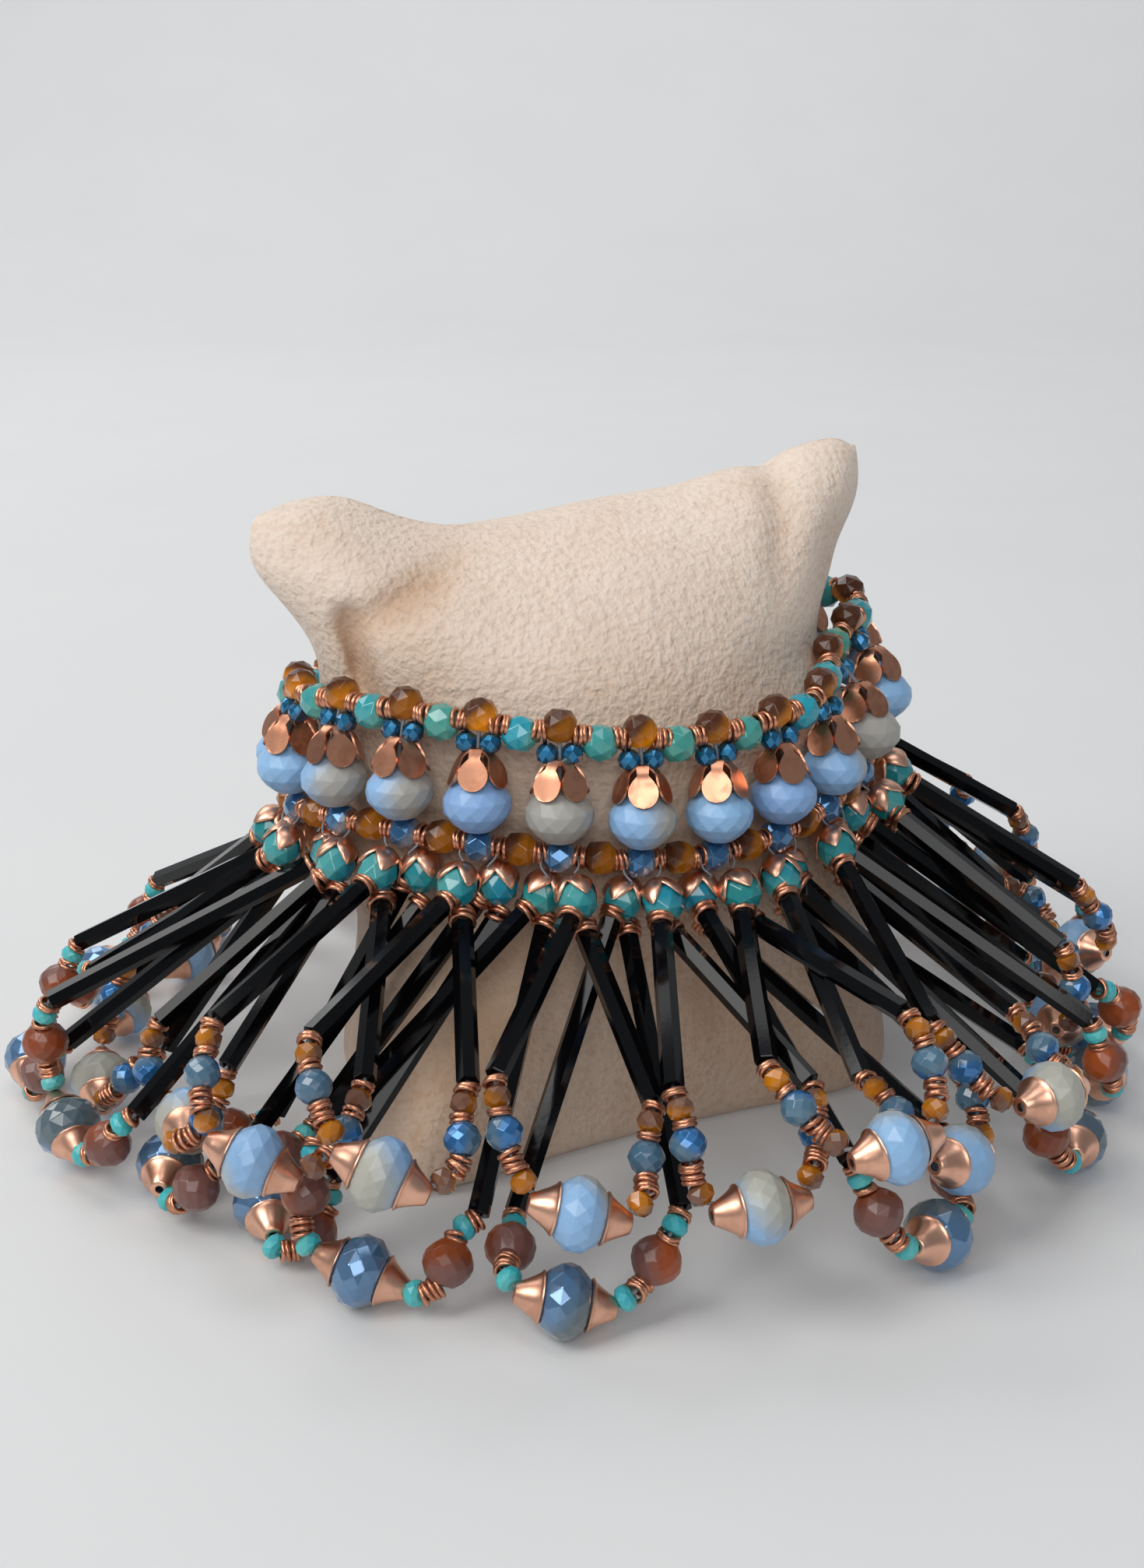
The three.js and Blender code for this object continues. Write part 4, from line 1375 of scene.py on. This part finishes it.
@dataclass
class BandNet:
    """Both edging strings, the large beads between them and what hangs them together."""

    band: Band
    units: list[Unit]
    copper: bpy.types.Material
    amber_bead: Bead = Bead(2.05, 1.85, 0.95, 8, ease=0.05)
    teal_bead: Bead = Bead(2.2, 2.0, 1.0, 8, ease=0.05)
    small_bead: Bead = Bead(1.34, 1.15, 0.6, 8)
    large_bead: Bead = Bead(4.0, 3.0, 1.9, 13, ease=0.07, fine=True)
    petal_cap: Cap = Cap(Petal(5.0, 3.45, 1.5, (0.85, 4.85), 22, 45, 0.24, 0.03, pointed=False), 5,
                         ((0.35, 4.95), (0.35, 4.45), (1.15, 4.4), (1.0, 4.85), (0.6, 5.0)), 14)
    turquoise_drop: float = 1.6
    cap_rise: float = 1.6
    ring: Form = field(default_factory=lambda: wire_ring(1.07, 0.29, 14))
    ring_step: float = 0.54
    string_thread: float = 0.28
    column_thread: float = 0.25
    hanging_thread: float = 0.13
    hanging_places: tuple[tuple[float, float, float], ...] = ((2.0, 0.4, 0.3), (2.15, 1.2, -0.8),
                                                              (1.3, 1.8, -1.9))
    nodes: tuple[str, ...] = tuple(numbered("band_net", range(1, 5)))

    def _toward(self, place: float, step: float = 0.5) -> Vector:
        """The upper string's direction at a distance along the band."""
        ahead, behind = (self.band.upper(place + way, self.band.string_drop) for way in (step, -step))
        return (ahead - behind).normalized()

    def edging(self) -> None:
        """Builds the beads of both strings."""
        amber = Tray("edging_amber_beads", Glass.SMOKY_AMBER.make(), Slot.AMBER, 1)
        teal = Tray("edging_turquoise_beads", Glass.TURQUOISE.make(), Slot.TEAL, 2)
        blue = Tray("edging_blue_beads", Glass.HALF_COATED_BLUE.make(), Slot.BLUE, 3)
        amber_form, teal_form = self.amber_bead.form(), self.teal_bead.form()
        half = self.band.pitch / 2
        for unit in self.units:
            toward = self._toward(unit.distance)
            amber.add(amber_form, unit.amber, toward, coated=UP - unit.along * 0.8 - unit.out * 0.3)
            blue.add(amber_form, unit.lower_blue, unit.along, coated=UP - unit.along + unit.out * 0.7)
            if unit.index < self.band.units - 1:
                place = unit.distance + half
                _, along, out = self.band.frame(place)
                teal.add(teal_form, self.band.upper(place, self.turquoise_drop), self._toward(place),
                         coated=along - UP * 0.4, scale=teal.chance.uniform(0.96, 1.03))
                amber.add(amber_form, self.band.lower(place, 0.3), along,
                          coated=UP * 0.5 - along - out * 0.2, tone=0.9)
        for tray in (amber, teal, blue):
            tray.make(*self.nodes)

    def rings(self, tray: Tray) -> None:
        """Adds the rings of both strings to the tray of rings."""
        quarter = self.band.pitch / 4
        for unit in self.units:
            for place in (unit.distance - quarter, unit.distance + quarter):
                edge = unit.index in (0, self.band.units - 1) and abs(place) > abs(unit.distance)
                for step in range(-1, 3 if tray.chance.random() < 0.6 and not edge else 2):
                    upper = self.band.upper(place + step * self.ring_step - 0.1, self.band.string_drop)
                    self.ring_on(tray, upper + unit.out * 0.3, self._toward(place))
                for step in (-1, 0, 1):
                    lower = self.band.lower(place + step * self.ring_step, self.band.string_rise)
                    self.ring_on(tray, lower, unit.along)

    def ring_on(self, tray: Tray, place: Vector, axis: Vector, size: float = 1.0) -> None:
        """Adds one ring with a little chance tilt."""
        chance = tray.chance
        tilt, slip = (Vector([chance.uniform(-most, most) for _ in range(3)]) for most in (0.2, 0.1))
        scale = size * chance.uniform(0.96, 1.04)
        tray.add(self.ring, place + slip, (axis + tilt).normalized(), scale=scale)

    def columns(self) -> None:
        """Builds the small blue pairs, the petal caps and the large beads."""
        small = Tray("small_blue_beads", Glass.METALLIC_NAVY.make(), Slot.BLUE, 4)
        large = Tray("band_rondelles", Glass.MATTE_SKY.make(), Slot.BLUE, 5)
        caps = Tray("petal_caps", self.copper, Slot.COPPER, 6)
        small_form, large_form, cap = self.small_bead.form(), self.large_bead.form(), self.petal_cap.form()
        for unit in self.units:
            line = (unit.amber - unit.band_bead).normalized()
            neck = unit.amber - line * 3.05 + unit.out * 0.35
            for sign in (-1, 1):
                small.add(small_form, neck + unit.along * (sign * 1.4), UP,
                          coated=UP - unit.along * 0.6 + unit.out)
            shade = PALE_ROW[unit.index].value
            coated = unit.along * shade.along + unit.out * shade.out
            large.add(large_form, unit.band_bead, UP, coated=coated, tone=shade.tone, lift=shade.lift)
            caps.add(cap, unit.band_bead + line * self.cap_rise, (UP + line * 0.6).normalized())
        small.make(*self.nodes)
        large.make(*numbered("band_bead", range(1, self.band.units + 1)))
        caps.make(*self.nodes)

    def threads(self, tray: Tray) -> None:
        """Adds the threads of both strings, of each column and the loops that hold the heads."""
        start = self.units[0].distance - self.band.pitch / 2
        end = self.units[-1].distance + self.band.pitch / 2
        steps = self.band.units * 6
        places = [start + (end - start) * step / steps for step in range(steps + 1)]
        tray.tube([self.band.upper(place, self.band.string_drop) for place in places], self.string_thread)
        tray.tube([self.band.lower(place, self.band.string_rise) for place in places], self.string_thread)
        for unit in self.units:
            column = [unit.amber, unit.band_bead + UP * 4.4, unit.band_bead, unit.lower_blue]
            tray.tube(column, self.column_thread)
            for sign, head in ((-1, unit.near.head), (1, unit.far.head)):
                side = unit.along * (sign * LIES[unit.index].side * -1)
                path = [unit.lower_blue + side * across + unit.out * outward + UP * rise
                        for across, outward, rise in self.hanging_places]
                tray.tube(rounded_path([*path, head - unit.near.axis * 2.4]), self.hanging_thread)


def rounded_path(points: list[Vector], steps: int = 5) -> list[Vector]:
    """A smooth line through a few points.

    Args:
        points: The points that it passes through.
        steps: Steps between two of them.

    Returns:
        The line's points.
    """
    ends = [points[0] * 2 - points[1], *points, points[-1] * 2 - points[-2]]
    line = []
    for i in range(1, len(ends) - 2):
        before, here, there, after = ends[i - 1:i + 3]
        for step in range(steps):
            t = step / steps
            line.append(0.5 * (2 * here + (there - before) * t
                               + (2 * before - 5 * here + 4 * there - after) * t * t
                               + (3 * here - before - 3 * there + after) * t ** 3))
    return [*line, points[-1]]


# ---- Fringe -------------------------------------------------------------------------------
@dataclass
class Fringe:
    """The two loops of every unit with their heads, tube beads, beads, cones and rings."""

    net: BandNet
    units: list[Unit]
    copper: bpy.types.Material
    head_bead: Bead = Bead(2.4, 2.2, 1.1, 8, ease=0.06)
    honey_bead: Bead = Bead(1.5, 1.15, 0.7, 7)
    inner_honey_bead: Bead = Bead(1.5, 1.12, 0.7, 7)
    aqua_bead: Bead = Bead(1.5, 0.95, 0.75, 9)
    steel_bead: Bead = Bead(2.05, 1.75, 0.95, 9, ease=0.04, fine=True)
    umber_bead: Bead = Bead(2.85, 2.4, 1.3, 10, ease=0.07, fine=True)
    middle_bead: Bead = Bead(4.0, 3.0, 1.9, 13, ease=0.06, fine=True)
    tulip_cap: Cap = Cap(Petal(4.1, 2.9, 1.5, (0.6, 3.0), 12, 84, 0.22, 0.3, pointed=True), 4,
                         ((0.25, 3.15), (0.25, 2.75), (0.8, 2.75), (0.7, 3.1)), 12)
    cone: tuple[Pair, ...] = (
        (0.5, 3.08), (0.9, 3.16), (1.1, 3.02), (1.56, 2.1), (2.1, 1.16), (2.46, 0.66), (2.66, 0.46),
        (2.8, 0.4), (2.84, 0.26), (2.7, 0.16), (2.2, 0.6), (0.5, 2.9),
    )
    tube_radius: float = 1.28
    tube_hole: float = 0.5
    own_beads: range = range(4, 18)
    ring_lap: float = 0.9
    ring_places: Pair = (0.22, 0.68)
    head_ring_places: tuple[float, ...] = (-0.15, 0.42, 0.98)
    head_ring_size: float = 1.22
    cone_at: float = 2.3
    thread_radius: float = 0.25

    @property
    def nodes(self) -> list[str]:
        """The CAD nodes of the loops."""
        return numbered("fringe", range(1, len(self.units) + 1))

    @property
    def loops(self) -> list[Loop]:
        """All the loops, unit by unit."""
        return [loop for unit in self.units for loop in (unit.near, unit.far)]

    def heads(self, rings: Tray) -> None:
        """Builds the head beads, their tulip caps and the rings under them."""
        beads = Tray("head_beads", Glass.TEAL_GLASS_BEAD.make(), Slot.TEAL, 11)
        caps = Tray("tulip_caps", self.copper, Slot.COPPER, 12)
        bead_form, cap = self.head_bead.form(), self.tulip_cap.form()
        for unit in self.units:
            for loop in (unit.near, unit.far):
                hang = (unit.lower_blue - UP * 2 - loop.head).normalized()
                upward = (hang - loop.axis * 1.6).normalized()
                beads.add(bead_form, loop.head, upward)
                caps.add(cap, loop.head, upward)
                for here, beyond in ((0, 1), (-1, -2)):
                    top, end = loop.joints[here].at, loop.joints[beyond].at
                    leg = (end - top).normalized()
                    for step in self.head_ring_places:
                        self.net.ring_on(rings, top - leg * step, leg, self.head_ring_size)
        beads.make(*self.nodes)
        caps.make(*self.nodes)

    def bugles(self) -> None:
        """Builds the long black tube beads."""
        tray = Tray("black_tube_beads", JetGlass("jet_glass").make(), Slot.BLACK, 13)
        forms = {kind: tube_bead(self.tube_radius, kind.bugle, self.tube_hole) for kind in (NEAR, FAR)}
        for loop in self.loops:
            for here, beyond in ((0, 1), (-1, -2)):
                top, end = loop.joints[here].at, loop.joints[beyond].at
                tray.add(forms[loop.kind], top, (top - end).normalized())
        tray.make(*self.nodes)

    def halves(self, loop: Loop) -> list[list[Vector]]:
        """The joints of each half of a loop's string, from the tube bead's end to the middle."""
        points = [joint.at for joint in loop.joints]
        middle = loop.middle
        return [points[1:middle + 1], points[-2:middle - 1:-1]]

    def strings(self, rings: Tray) -> None:
        """Builds the small beads and rings of the loops."""
        honey = Tray("honey_beads", Glass.HONEY_AMBER.make(), Slot.AMBER, 21)
        steel = Tray("steel_blue_beads", Glass.STEEL_BLUE_GLASS.make(), Slot.BLUE, 22)
        aqua = Tray("aqua_beads", Glass.AQUA_STONE.make(), Slot.TEAL, 23)
        umber = Tray("umber_beads", Glass.FROSTED_UMBER.make(), Slot.AMBER, 24)
        aqua_form = self.aqua_bead.form()
        outer = {
            NEAR: ((honey, self.honey_bead.form()), (steel, self.steel_bead.form())),
            FAR: ((aqua, aqua_form), (umber, self.umber_bead.form())),
        }
        inner = {NEAR: (honey, self.inner_honey_bead.form()), FAR: (aqua, aqua_form)}
        for loop in self.loops:
            for points in self.halves(loop):
                for place, (tray, form) in enumerate(outer[loop.kind]):
                    start, end = points[place], points[place + 1]
                    toward = (end - start).normalized()
                    for step in self.ring_places:
                        self.net.ring_on(rings, start + toward * step, toward)
                    tray.add(form, (start + toward * self.ring_lap + end) / 2, toward)
                start, end = points[2], points[3]
                toward = (end - start).normalized()
                for step in range(4):
                    self.net.ring_on(rings, start + (end - start) * ((step + 0.5) / 4), toward)
                tray, form = inner[loop.kind]
                tray.add(form, (points[3] + points[4]) / 2, (points[4] - points[3]).normalized())
        for tray in (honey, steel, aqua, umber):
            tray.make(*self.nodes)

    def middles(self) -> None:
        """Builds the large bead of each loop with its two cones."""
        pale = Tray("near_rondelles", Glass.MATTE_SKY_AND_GREY.make(), Slot.BLUE, 31)
        denim = Tray("far_rondelles", Glass.DENIM_GLASS_COATED.make(), Slot.DENIM, 32)
        cones = Tray("copper_cones", self.copper, Slot.COPPER, 33)
        bead = self.middle_bead.form()
        cone = turned(self.cone, 24, closed=True, smooth=True)
        for loop in self.loops:
            middle, axis = loop.joints[loop.middle].at, loop.middle_axis
            (pale if loop.kind is NEAR else denim).add(bead, middle, axis)
            for sign in (-1, 1):
                cones.add(cone, middle + axis * (sign * self.cone_at), axis * sign)
        pale.make(*self.nodes)
        denim.make(*self.nodes, *numbered("fringe_bead", self.own_beads))
        cones.make(*self.nodes)

    def threads(self, tray: Tray) -> None:
        """Adds each loop's thread."""
        for loop in self.loops:
            tray.tube([loop.head, *[joint.at for joint in loop.joints], loop.head], self.thread_radius)


@dataclass
class Clasp:
    """The plain rounded plate that closes the band behind the pillow."""

    band: Band
    copper: bpy.types.Material
    height: float = 17.0
    thickness: float = 2.4
    out: float = 1.0
    drop: float = 7.75
    corner: float = 2.2

    def build(self) -> None:
        """Builds the plate."""
        half_length, half_height = self.band.clasp / 2 - 0.3, self.height / 2
        corner, points, steps = self.corner, [], 5
        for centre_x, centre_y, first in ((1, 1, 0), (-1, 1, 90), (-1, -1, 180), (1, -1, 270)):
            for step in range(steps + 1):
                angle = math.radians(first + 90 * step / steps)
                points.append((centre_x * (half_length - corner) + corner * math.cos(angle),
                               centre_y * (half_height - corner) + corner * math.sin(angle)))
        levels = ((0.86, -0.5), (0.97, -0.42), (1.0, -0.2), (1.0, 0.2), (0.97, 0.42), (0.86, 0.5))
        rings = [[(x * inset, y * inset, self.thickness * level) for x, y in points]
                 for inset, level in levels]
        form = Form(np.vstack(rings), tuple(skinned(len(levels), len(points))))
        middle = self.band.distance(self.band.units - 1) + (self.band.pitch + self.band.clasp) / 2
        point, along, out = self.band.frame(middle)
        turn = np.array(Matrix((along, UP, out)).transposed())
        plate = Form(form.points @ turn.T, form.faces)
        tray = Tray("clasp_plate", self.copper, Slot.COPPER, 41)
        tray.add(plate, point + out * self.out - UP * self.drop, UP, spin=0, coated=out, tone=0.4)
        tray.make("clasp")


# ---- Pillow -------------------------------------------------------------------------------
@dataclass(frozen=True)
class Row:
    """One level row of the pillow, in millimetres.

    Attributes:
        z: Its height.
        left: Its left end.
        right: Its right end.
        depth: Half its thickness in the middle.
        middle: How far back the line midway between its sheets lies.
        skew: How much that line turns back towards the right.
        bow: How much that line's ends come forward.
        square: How full the row is towards its ends, where 2 is an ellipse.
    """

    z: float
    left: float
    right: float
    depth: float
    middle: float
    skew: float
    bow: float
    square: float


ROWS = (
    Row(0, -30.5, 34.5, 22.3, -1.4, 0.21, 0.0035, 7),
    Row(3, -32.8, 37.5, 23.8, -1.4, 0.21, 0.0035, 6),
    Row(13, -31.5, 37.5, 25, -0.7, 0.16, 0.0022, 3.6),
    Row(24, -30.5, 36.2, 25.4, 0, 0.07, 0.0008, 2.4),
    Row(35, -34.4, 34.6, 25.1, 0, 0, 0, 1.8),
    Row(48, -34.2, 34.2, 24.8, 0, 0, 0, 1.8),
    Row(57, -34, 30.2, 22.5, 0, 0, 0, 1.8),
    Row(64, -37, 32, 18.8, 0.5, 0, 0, 1.9),
    Row(70, -39.6, 34, 13.2, 1.2, 0, 0, 2),
    Row(73.8, -40.2, 35.4, 6, 1.8, 0, 0, 2.4),
    Row(75, -37.8, 35.6, 0, 2, 0, 0, 2.4),
)


@dataclass(frozen=True)
class Fold:
    """A soft crease from one place on the front to another; places are x and z in millimetres."""

    start: Pair
    end: Pair
    depth: float
    width: float

    def at(self, x: float, z: float) -> float:
        """How far the crease draws the cloth in at a place."""
        (x0, z0), (x1, z1) = self.start, self.end
        along = ((x - x0) * (x1 - x0) + (z - z0) * (z1 - z0)) / ((x1 - x0) ** 2 + (z1 - z0) ** 2)
        share = min(1.0, max(0.0, along))
        away = math.hypot(x - x0 - (x1 - x0) * share, z - z0 - (z1 - z0) * share)
        return self.depth * math.exp(-((away / self.width) ** 2)) * math.sin(math.pi * (0.15 + 0.7 * share))


@dataclass(frozen=True)
class Swell:
    """A smooth local change of a measure: where it is greatest, how wide it is and how much it adds."""

    middle: float
    width: float
    height: float

    def at(self, place: float) -> float:
        """How much it adds at a place."""
        return self.height * math.exp(-(((place - self.middle) / self.width) ** 2))


@dataclass
class DisplayPillow:
    """The small stuffed pillow with two drawn-out ears, in millimetres."""

    origin: Vector
    columns: int = 230
    rows: int = 170
    sag: float = 1.0
    tilt: float = 2.4
    ears: float = 4.7
    ears_from: float = 58.0
    seam: float = 0.02
    inset: float = 0.15
    foot_fade: float = 6.0
    seam_fade: float = 0.12
    lumps: float = 0.055
    gather_depth: float = 0.22
    gather_step: float = 1.45
    gather_reach: float = 0.05
    shade_from: float = 66.0
    shade_over: float = 26.0
    left_ear: Swell = Swell(68.5, 4.5, 1.9)
    right_ear: Swell = Swell(70.5, 3.6, 1.5)
    seam_swells: tuple[Swell, ...] = (Swell(-0.78, 0.14, 1.1), Swell(-1.0, 0.07, -0.8),
                                      Swell(0.68, 0.07, -1.3), Swell(1.0, 0.05, -1.1))
    front_folds: tuple[Fold, ...] = (
        Fold((-29, 53), (-31.5, 65), 3.0, 1.35), Fold((-31.5, 63.5), (-18, 70), 1.5, 2.0),
        Fold((23, 78), (21, 66), 0.9, 2.4), Fold((28, 62), (31, 72), 0.8, 1.8),
        Fold((-12, 34), (-22, 14), 0.8, 3.2), Fold((6, 33), (10, 12), 0.7, 3.0),
        Fold((22, 34), (30, 14), 0.8, 3.0),
    )
    back_folds: tuple[Fold, ...] = (
        Fold((-27, 58), (-22, 68), 1.2, 2.2), Fold((24, 58), (26, 70), 1.2, 2.2),
        Fold((-4, 34), (4, 12), 0.8, 3.4),
    )

    def row_at(self, level: float) -> Row:
        """The pillow's row at a level from 0 at the foot to 1 at the top seam."""
        place = level * (len(ROWS) - 1)
        index = min(int(place), len(ROWS) - 2)
        t = place - index
        picks = [ROWS[min(max(index + step, 0), len(ROWS) - 1)] for step in (-1, 0, 1, 2)]

        def eased_value(name: str) -> float:
            """One measure of the row on a smooth curve through the named rows."""
            a, b, c, d = (getattr(pick, name) for pick in picks)
            return b + 0.5 * t * (c - a + t * (2 * a - 5 * b + 4 * c - d + t * (3 * (b - c) + d - a)))

        return Row(*[eased_value(measure.name) for measure in fields(Row)])

    def rise(self, u: float) -> float:
        """How far the top seam rises above its middle, from -1 at the left ear to 1 at the right."""
        reach = abs(u)
        ear = min(1.0, max(0.0, (reach - 0.3) / 0.65))
        level = math.copysign(self.tilt * (1 - (1 - reach) ** 3), u) - self.sag
        return level + self.ears * ear * ear * (3 - 2 * ear) + sum(swell.at(u) for swell in self.seam_swells)

    def place(self, row: Row, u: float, side: int) -> tuple[Vector, float]:
        """A point of one sheet, and the painted shade of its creases and of the cloth low on the pillow.

        Args:
            row: The level row.
            u: The place across, from -1 to 1.
            side: -1 for the front sheet and 1 for the back one.

        Returns:
            The point in millimetres and its painted shade.
        """
        left = row.left - self.left_ear.at(row.z)
        right = row.right + self.right_ear.at(row.z)
        x = left + (right - left) * (u + 1) / 2
        bulge = max(0.0, 1 - abs(u) ** row.square) ** (1 / row.square)
        top = ROWS[-1].z
        raised = max(0.0, (row.z - self.ears_from) / (top - self.ears_from))
        z = row.z + raised * self.rise(u)
        folds = self.front_folds if side < 0 else self.back_folds
        crease = sum(fold.at(x, z) for fold in folds)
        spot = Vector((x * self.lumps, side * 3.1, z * self.lumps))
        soft = 0.55 * noise.noise(spot) + 0.22 * noise.noise(spot * 3.1)
        from_side, from_top = 1 - abs(u), max(0.0, 1 - raised)
        fade = min(1.0, from_side / self.seam_fade) * min(1.0, from_top / self.seam_fade)
        wave = math.sin(row.z * self.gather_step + 2 * noise.noise(spot * 2))
        gather = self.gather_depth * wave * math.exp(-from_side / self.gather_reach)
        inward = (crease + soft * 0.8 + gather) * fade * min(1.0, row.z / self.foot_fade) + self.inset
        depth = max(0.0, row.depth * bulge - inward * (1 if bulge > 0.02 else 0))
        y = row.middle + row.skew * x - row.bow * x * x + side * depth
        # Painted shade: darker in the creases and towards the foot, below the height shade_from.
        below = min(1.0, max(0.0, (self.shade_from - row.z) / self.shade_over))
        shade = min(1.0, 0.6 * crease) + 0.75 * below
        return Vector((x, y, max(z, 0.0))), shade

    def build(self) -> None:
        """Builds the two sheets and the flat foot as one closed mesh."""
        across = [math.sin(math.pi * (step / self.columns - 0.5)) for step in range(self.columns + 1)]
        points, shades = [], []
        for level in range(self.rows + 1):
            row = self.row_at(level / self.rows)
            for side in (-1, 1):
                for u in across:
                    point, shade = self.place(row, u, side)
                    points.append((point + self.origin) * MM)
                    shades.append(shade)
        wide = self.columns + 1
        faces = []
        for column in range(self.columns):
            faces.append((column, wide + column, wide + column + 1, column + 1))
            for level in range(self.rows):
                a, b = 2 * level * wide + column, 2 * (level + 1) * wide + column
                faces.append((a, a + 1, b + 1, b))
                faces.append((a + wide, b + wide, b + wide + 1, a + wide + 1))
        suede = BrushedSuede("cream_suede").make()
        # The side attribute carries the painted shade of the creases and of the lower cloth.
        piece = mesh_piece("pillow", [point[:] for point in points], faces, suede, side=shades)
        sheet = bmesh.new()
        sheet.from_mesh(piece.data)
        bmesh.ops.remove_doubles(sheet, verts=sheet.verts, dist=self.seam * MM)
        bmesh.ops.recalc_face_normals(sheet, faces=sheet.faces)
        sheet.to_mesh(piece.data)
        sheet.free()
        settle_piece(piece, Slot.CLOTH, ("display_pillow",))
        LOG.info("pillow: %d faces", len(piece.data.polygons))


# ---- Studio -------------------------------------------------------------------------------
@dataclass
class Lamp:
    """A soft rectangular lamp in degrees, metres and watts, and the place that it looks at."""

    name: str
    azimuth: float
    elevation: float
    distance: float
    width: float
    height: float
    power: float
    tint: Colour = (1.0, 1.0, 1.0)
    aim: tuple[float, float, float] = (0.0, 0.0, 0.03)


@dataclass
class Studio:
    """The pale floor in metres, the soft light, and the camera in millimetres from the band's middle."""

    origin: Vector
    focal: float = 45.0
    camera_at: tuple[float, float, float] = (-63.3, -230.0, 122.3)
    turn: float = 14.93
    look_down: float = 19.43
    wall_at: float = 0.8
    wall_bend: float = 0.5
    wall_height: float = 1.7
    half_width: float = 2.0
    near_edge: float = -1.6
    under: float = 0.0002
    lamps: tuple[Lamp, ...] = (
        Lamp("window", -74, 46, 1.35, 0.7, 0.8, 8.9, (1.0, 0.985, 0.96)),
        Lamp("back_window", -150, 40, 1.2, 0.6, 0.5, 2.8),
        Lamp("front_fill", -16, 36, 1.3, 0.6, 0.6, 3.95),
        Lamp("overhead", 0, 84, 0.9, 0.4, 0.4, 0.9),
        Lamp("wall_wash", -8, 36, 0.95, 1.4, 0.5, 4.3, aim=(0.46, 1.28, 0.5)),
    )

    def floor(self) -> None:
        """Lays the pale sweep: a level sheet that bends up into a wall far behind."""
        line = [(self.near_edge, 0.0), (-0.5, 0.0), (self.wall_at * 0.5, 0.0)]
        for step in range(13):
            angle = math.pi / 2 * step / 12
            reach, rise = self.wall_bend * math.sin(angle), self.wall_bend * (1 - math.cos(angle))
            line.append((self.wall_at + reach, rise))
        line.append((self.wall_at + self.wall_bend, self.wall_height))
        turn = Matrix.Rotation(-math.radians(self.turn), 3, "Z")
        across = (-self.half_width, 0.0, self.half_width)
        points = [(turn @ Vector((x, y, z - self.under)))[:] for y, z in line for x in across]
        faces = [(3 * row + column, 3 * row + column + 1, 3 * row + column + 4, 3 * row + column + 3)
                 for row in range(len(line) - 1) for column in range(2)]
        mesh_piece("sweep", points, faces, PaleFloor("pale_sweep").make())

    def light(self) -> None:
        """Sets the lamps and the pale surroundings."""
        scene = bpy.context.scene
        scene.view_settings.view_transform = "Standard"
        world = bpy.data.worlds.new("surroundings")
        world.use_nodes = True
        background = world.node_tree.nodes["Background"]
        background.inputs["Color"].default_value = (*srgb(214, 222, 232), 1)
        background.inputs["Strength"].default_value = 0.3
        scene.world = world
        for lamp in self.lamps:
            data = bpy.data.lights.new(lamp.name, "AREA")
            data.shape = "RECTANGLE"
            data.size, data.size_y = lamp.width, lamp.height
            data.energy = lamp.power
            data.color = lamp.tint
            turn, tip = math.radians(lamp.azimuth), math.radians(lamp.elevation)
            way = Vector((math.sin(turn) * math.cos(tip), -math.cos(turn) * math.cos(tip), math.sin(tip)))
            rig = bpy.data.objects.new(lamp.name, data)
            rig.location = way * lamp.distance + Vector(lamp.aim)
            rig.rotation_euler = (-way).to_track_quat("-Z", "Y").to_euler()
            scene.collection.objects.link(rig)

    def camera(self) -> None:
        """Places the camera."""
        data = bpy.data.cameras.new("camera")
        data.lens = self.focal
        data.sensor_width = 36.0
        turn, tip = math.radians(self.turn), math.radians(self.look_down)
        way = Vector((math.sin(turn) * math.cos(tip), math.cos(turn) * math.cos(tip), -math.sin(tip)))
        camera = bpy.data.objects.new("camera", data)
        camera.location = (Vector(self.camera_at) + self.origin) * MM
        camera.rotation_euler = way.to_track_quat("-Z", "Y").to_euler()
        bpy.context.scene.collection.objects.link(camera)
        bpy.context.scene.camera = camera


def footprint_shift() -> Vector:
    """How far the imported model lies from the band's own middle, read from its large beads."""
    plain = Band()
    shift = Vector((0, 0, 0))
    for unit, name in enumerate(numbered("band_bead", range(1, plain.units + 1))):
        low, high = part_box(name)
        shift += (Vector(low) + Vector(high)) / 2 / MM - plain.bead(plain.distance(unit))
    shift /= plain.units
    shift.z = 0
    return shift


def main() -> None:
    """Builds the bracelet, its pillow and the studio round them."""
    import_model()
    shift = footprint_shift()
    LOG.info("the model lies %.2f, %.2f mm from the band's middle", shift.x, shift.y)
    studio = Studio(shift)
    studio.camera()
    studio.floor()
    studio.light()
    band = Band(origin=(shift.x, shift.y))
    units = FringeLie(band).units()
    copper = AgedCopper("antique_copper").make()
    bright = AgedCopper("polished_copper", srgb(242, 188, 160), srgb(176, 112, 84), 0.27, 0.3).make()
    thread = ClearThread("clear_nylon").make()
    net = BandNet(band, units, copper)
    net.edging()
    net.columns()
    fringe = Fringe(net, units, bright)
    band_rings = Tray("band_rings", copper, Slot.COPPER, 7)
    net.rings(band_rings)
    band_rings.make(*net.nodes)
    fringe_rings = Tray("fringe_rings", copper, Slot.COPPER, 8)
    fringe.heads(fringe_rings)
    fringe.bugles()
    fringe.strings(fringe_rings)
    fringe.middles()
    fringe_rings.make(*fringe.nodes)
    threads = Tray("nylon_threads", thread, None, 9)
    net.threads(threads)
    fringe.threads(threads)
    threads.make(*net.nodes, *fringe.nodes)
    Clasp(band, copper).build()
    DisplayPillow(shift).build()


if __name__ == "__main__":
    logging.basicConfig(level=logging.INFO, format="%(name)s: %(message)s")
    main()
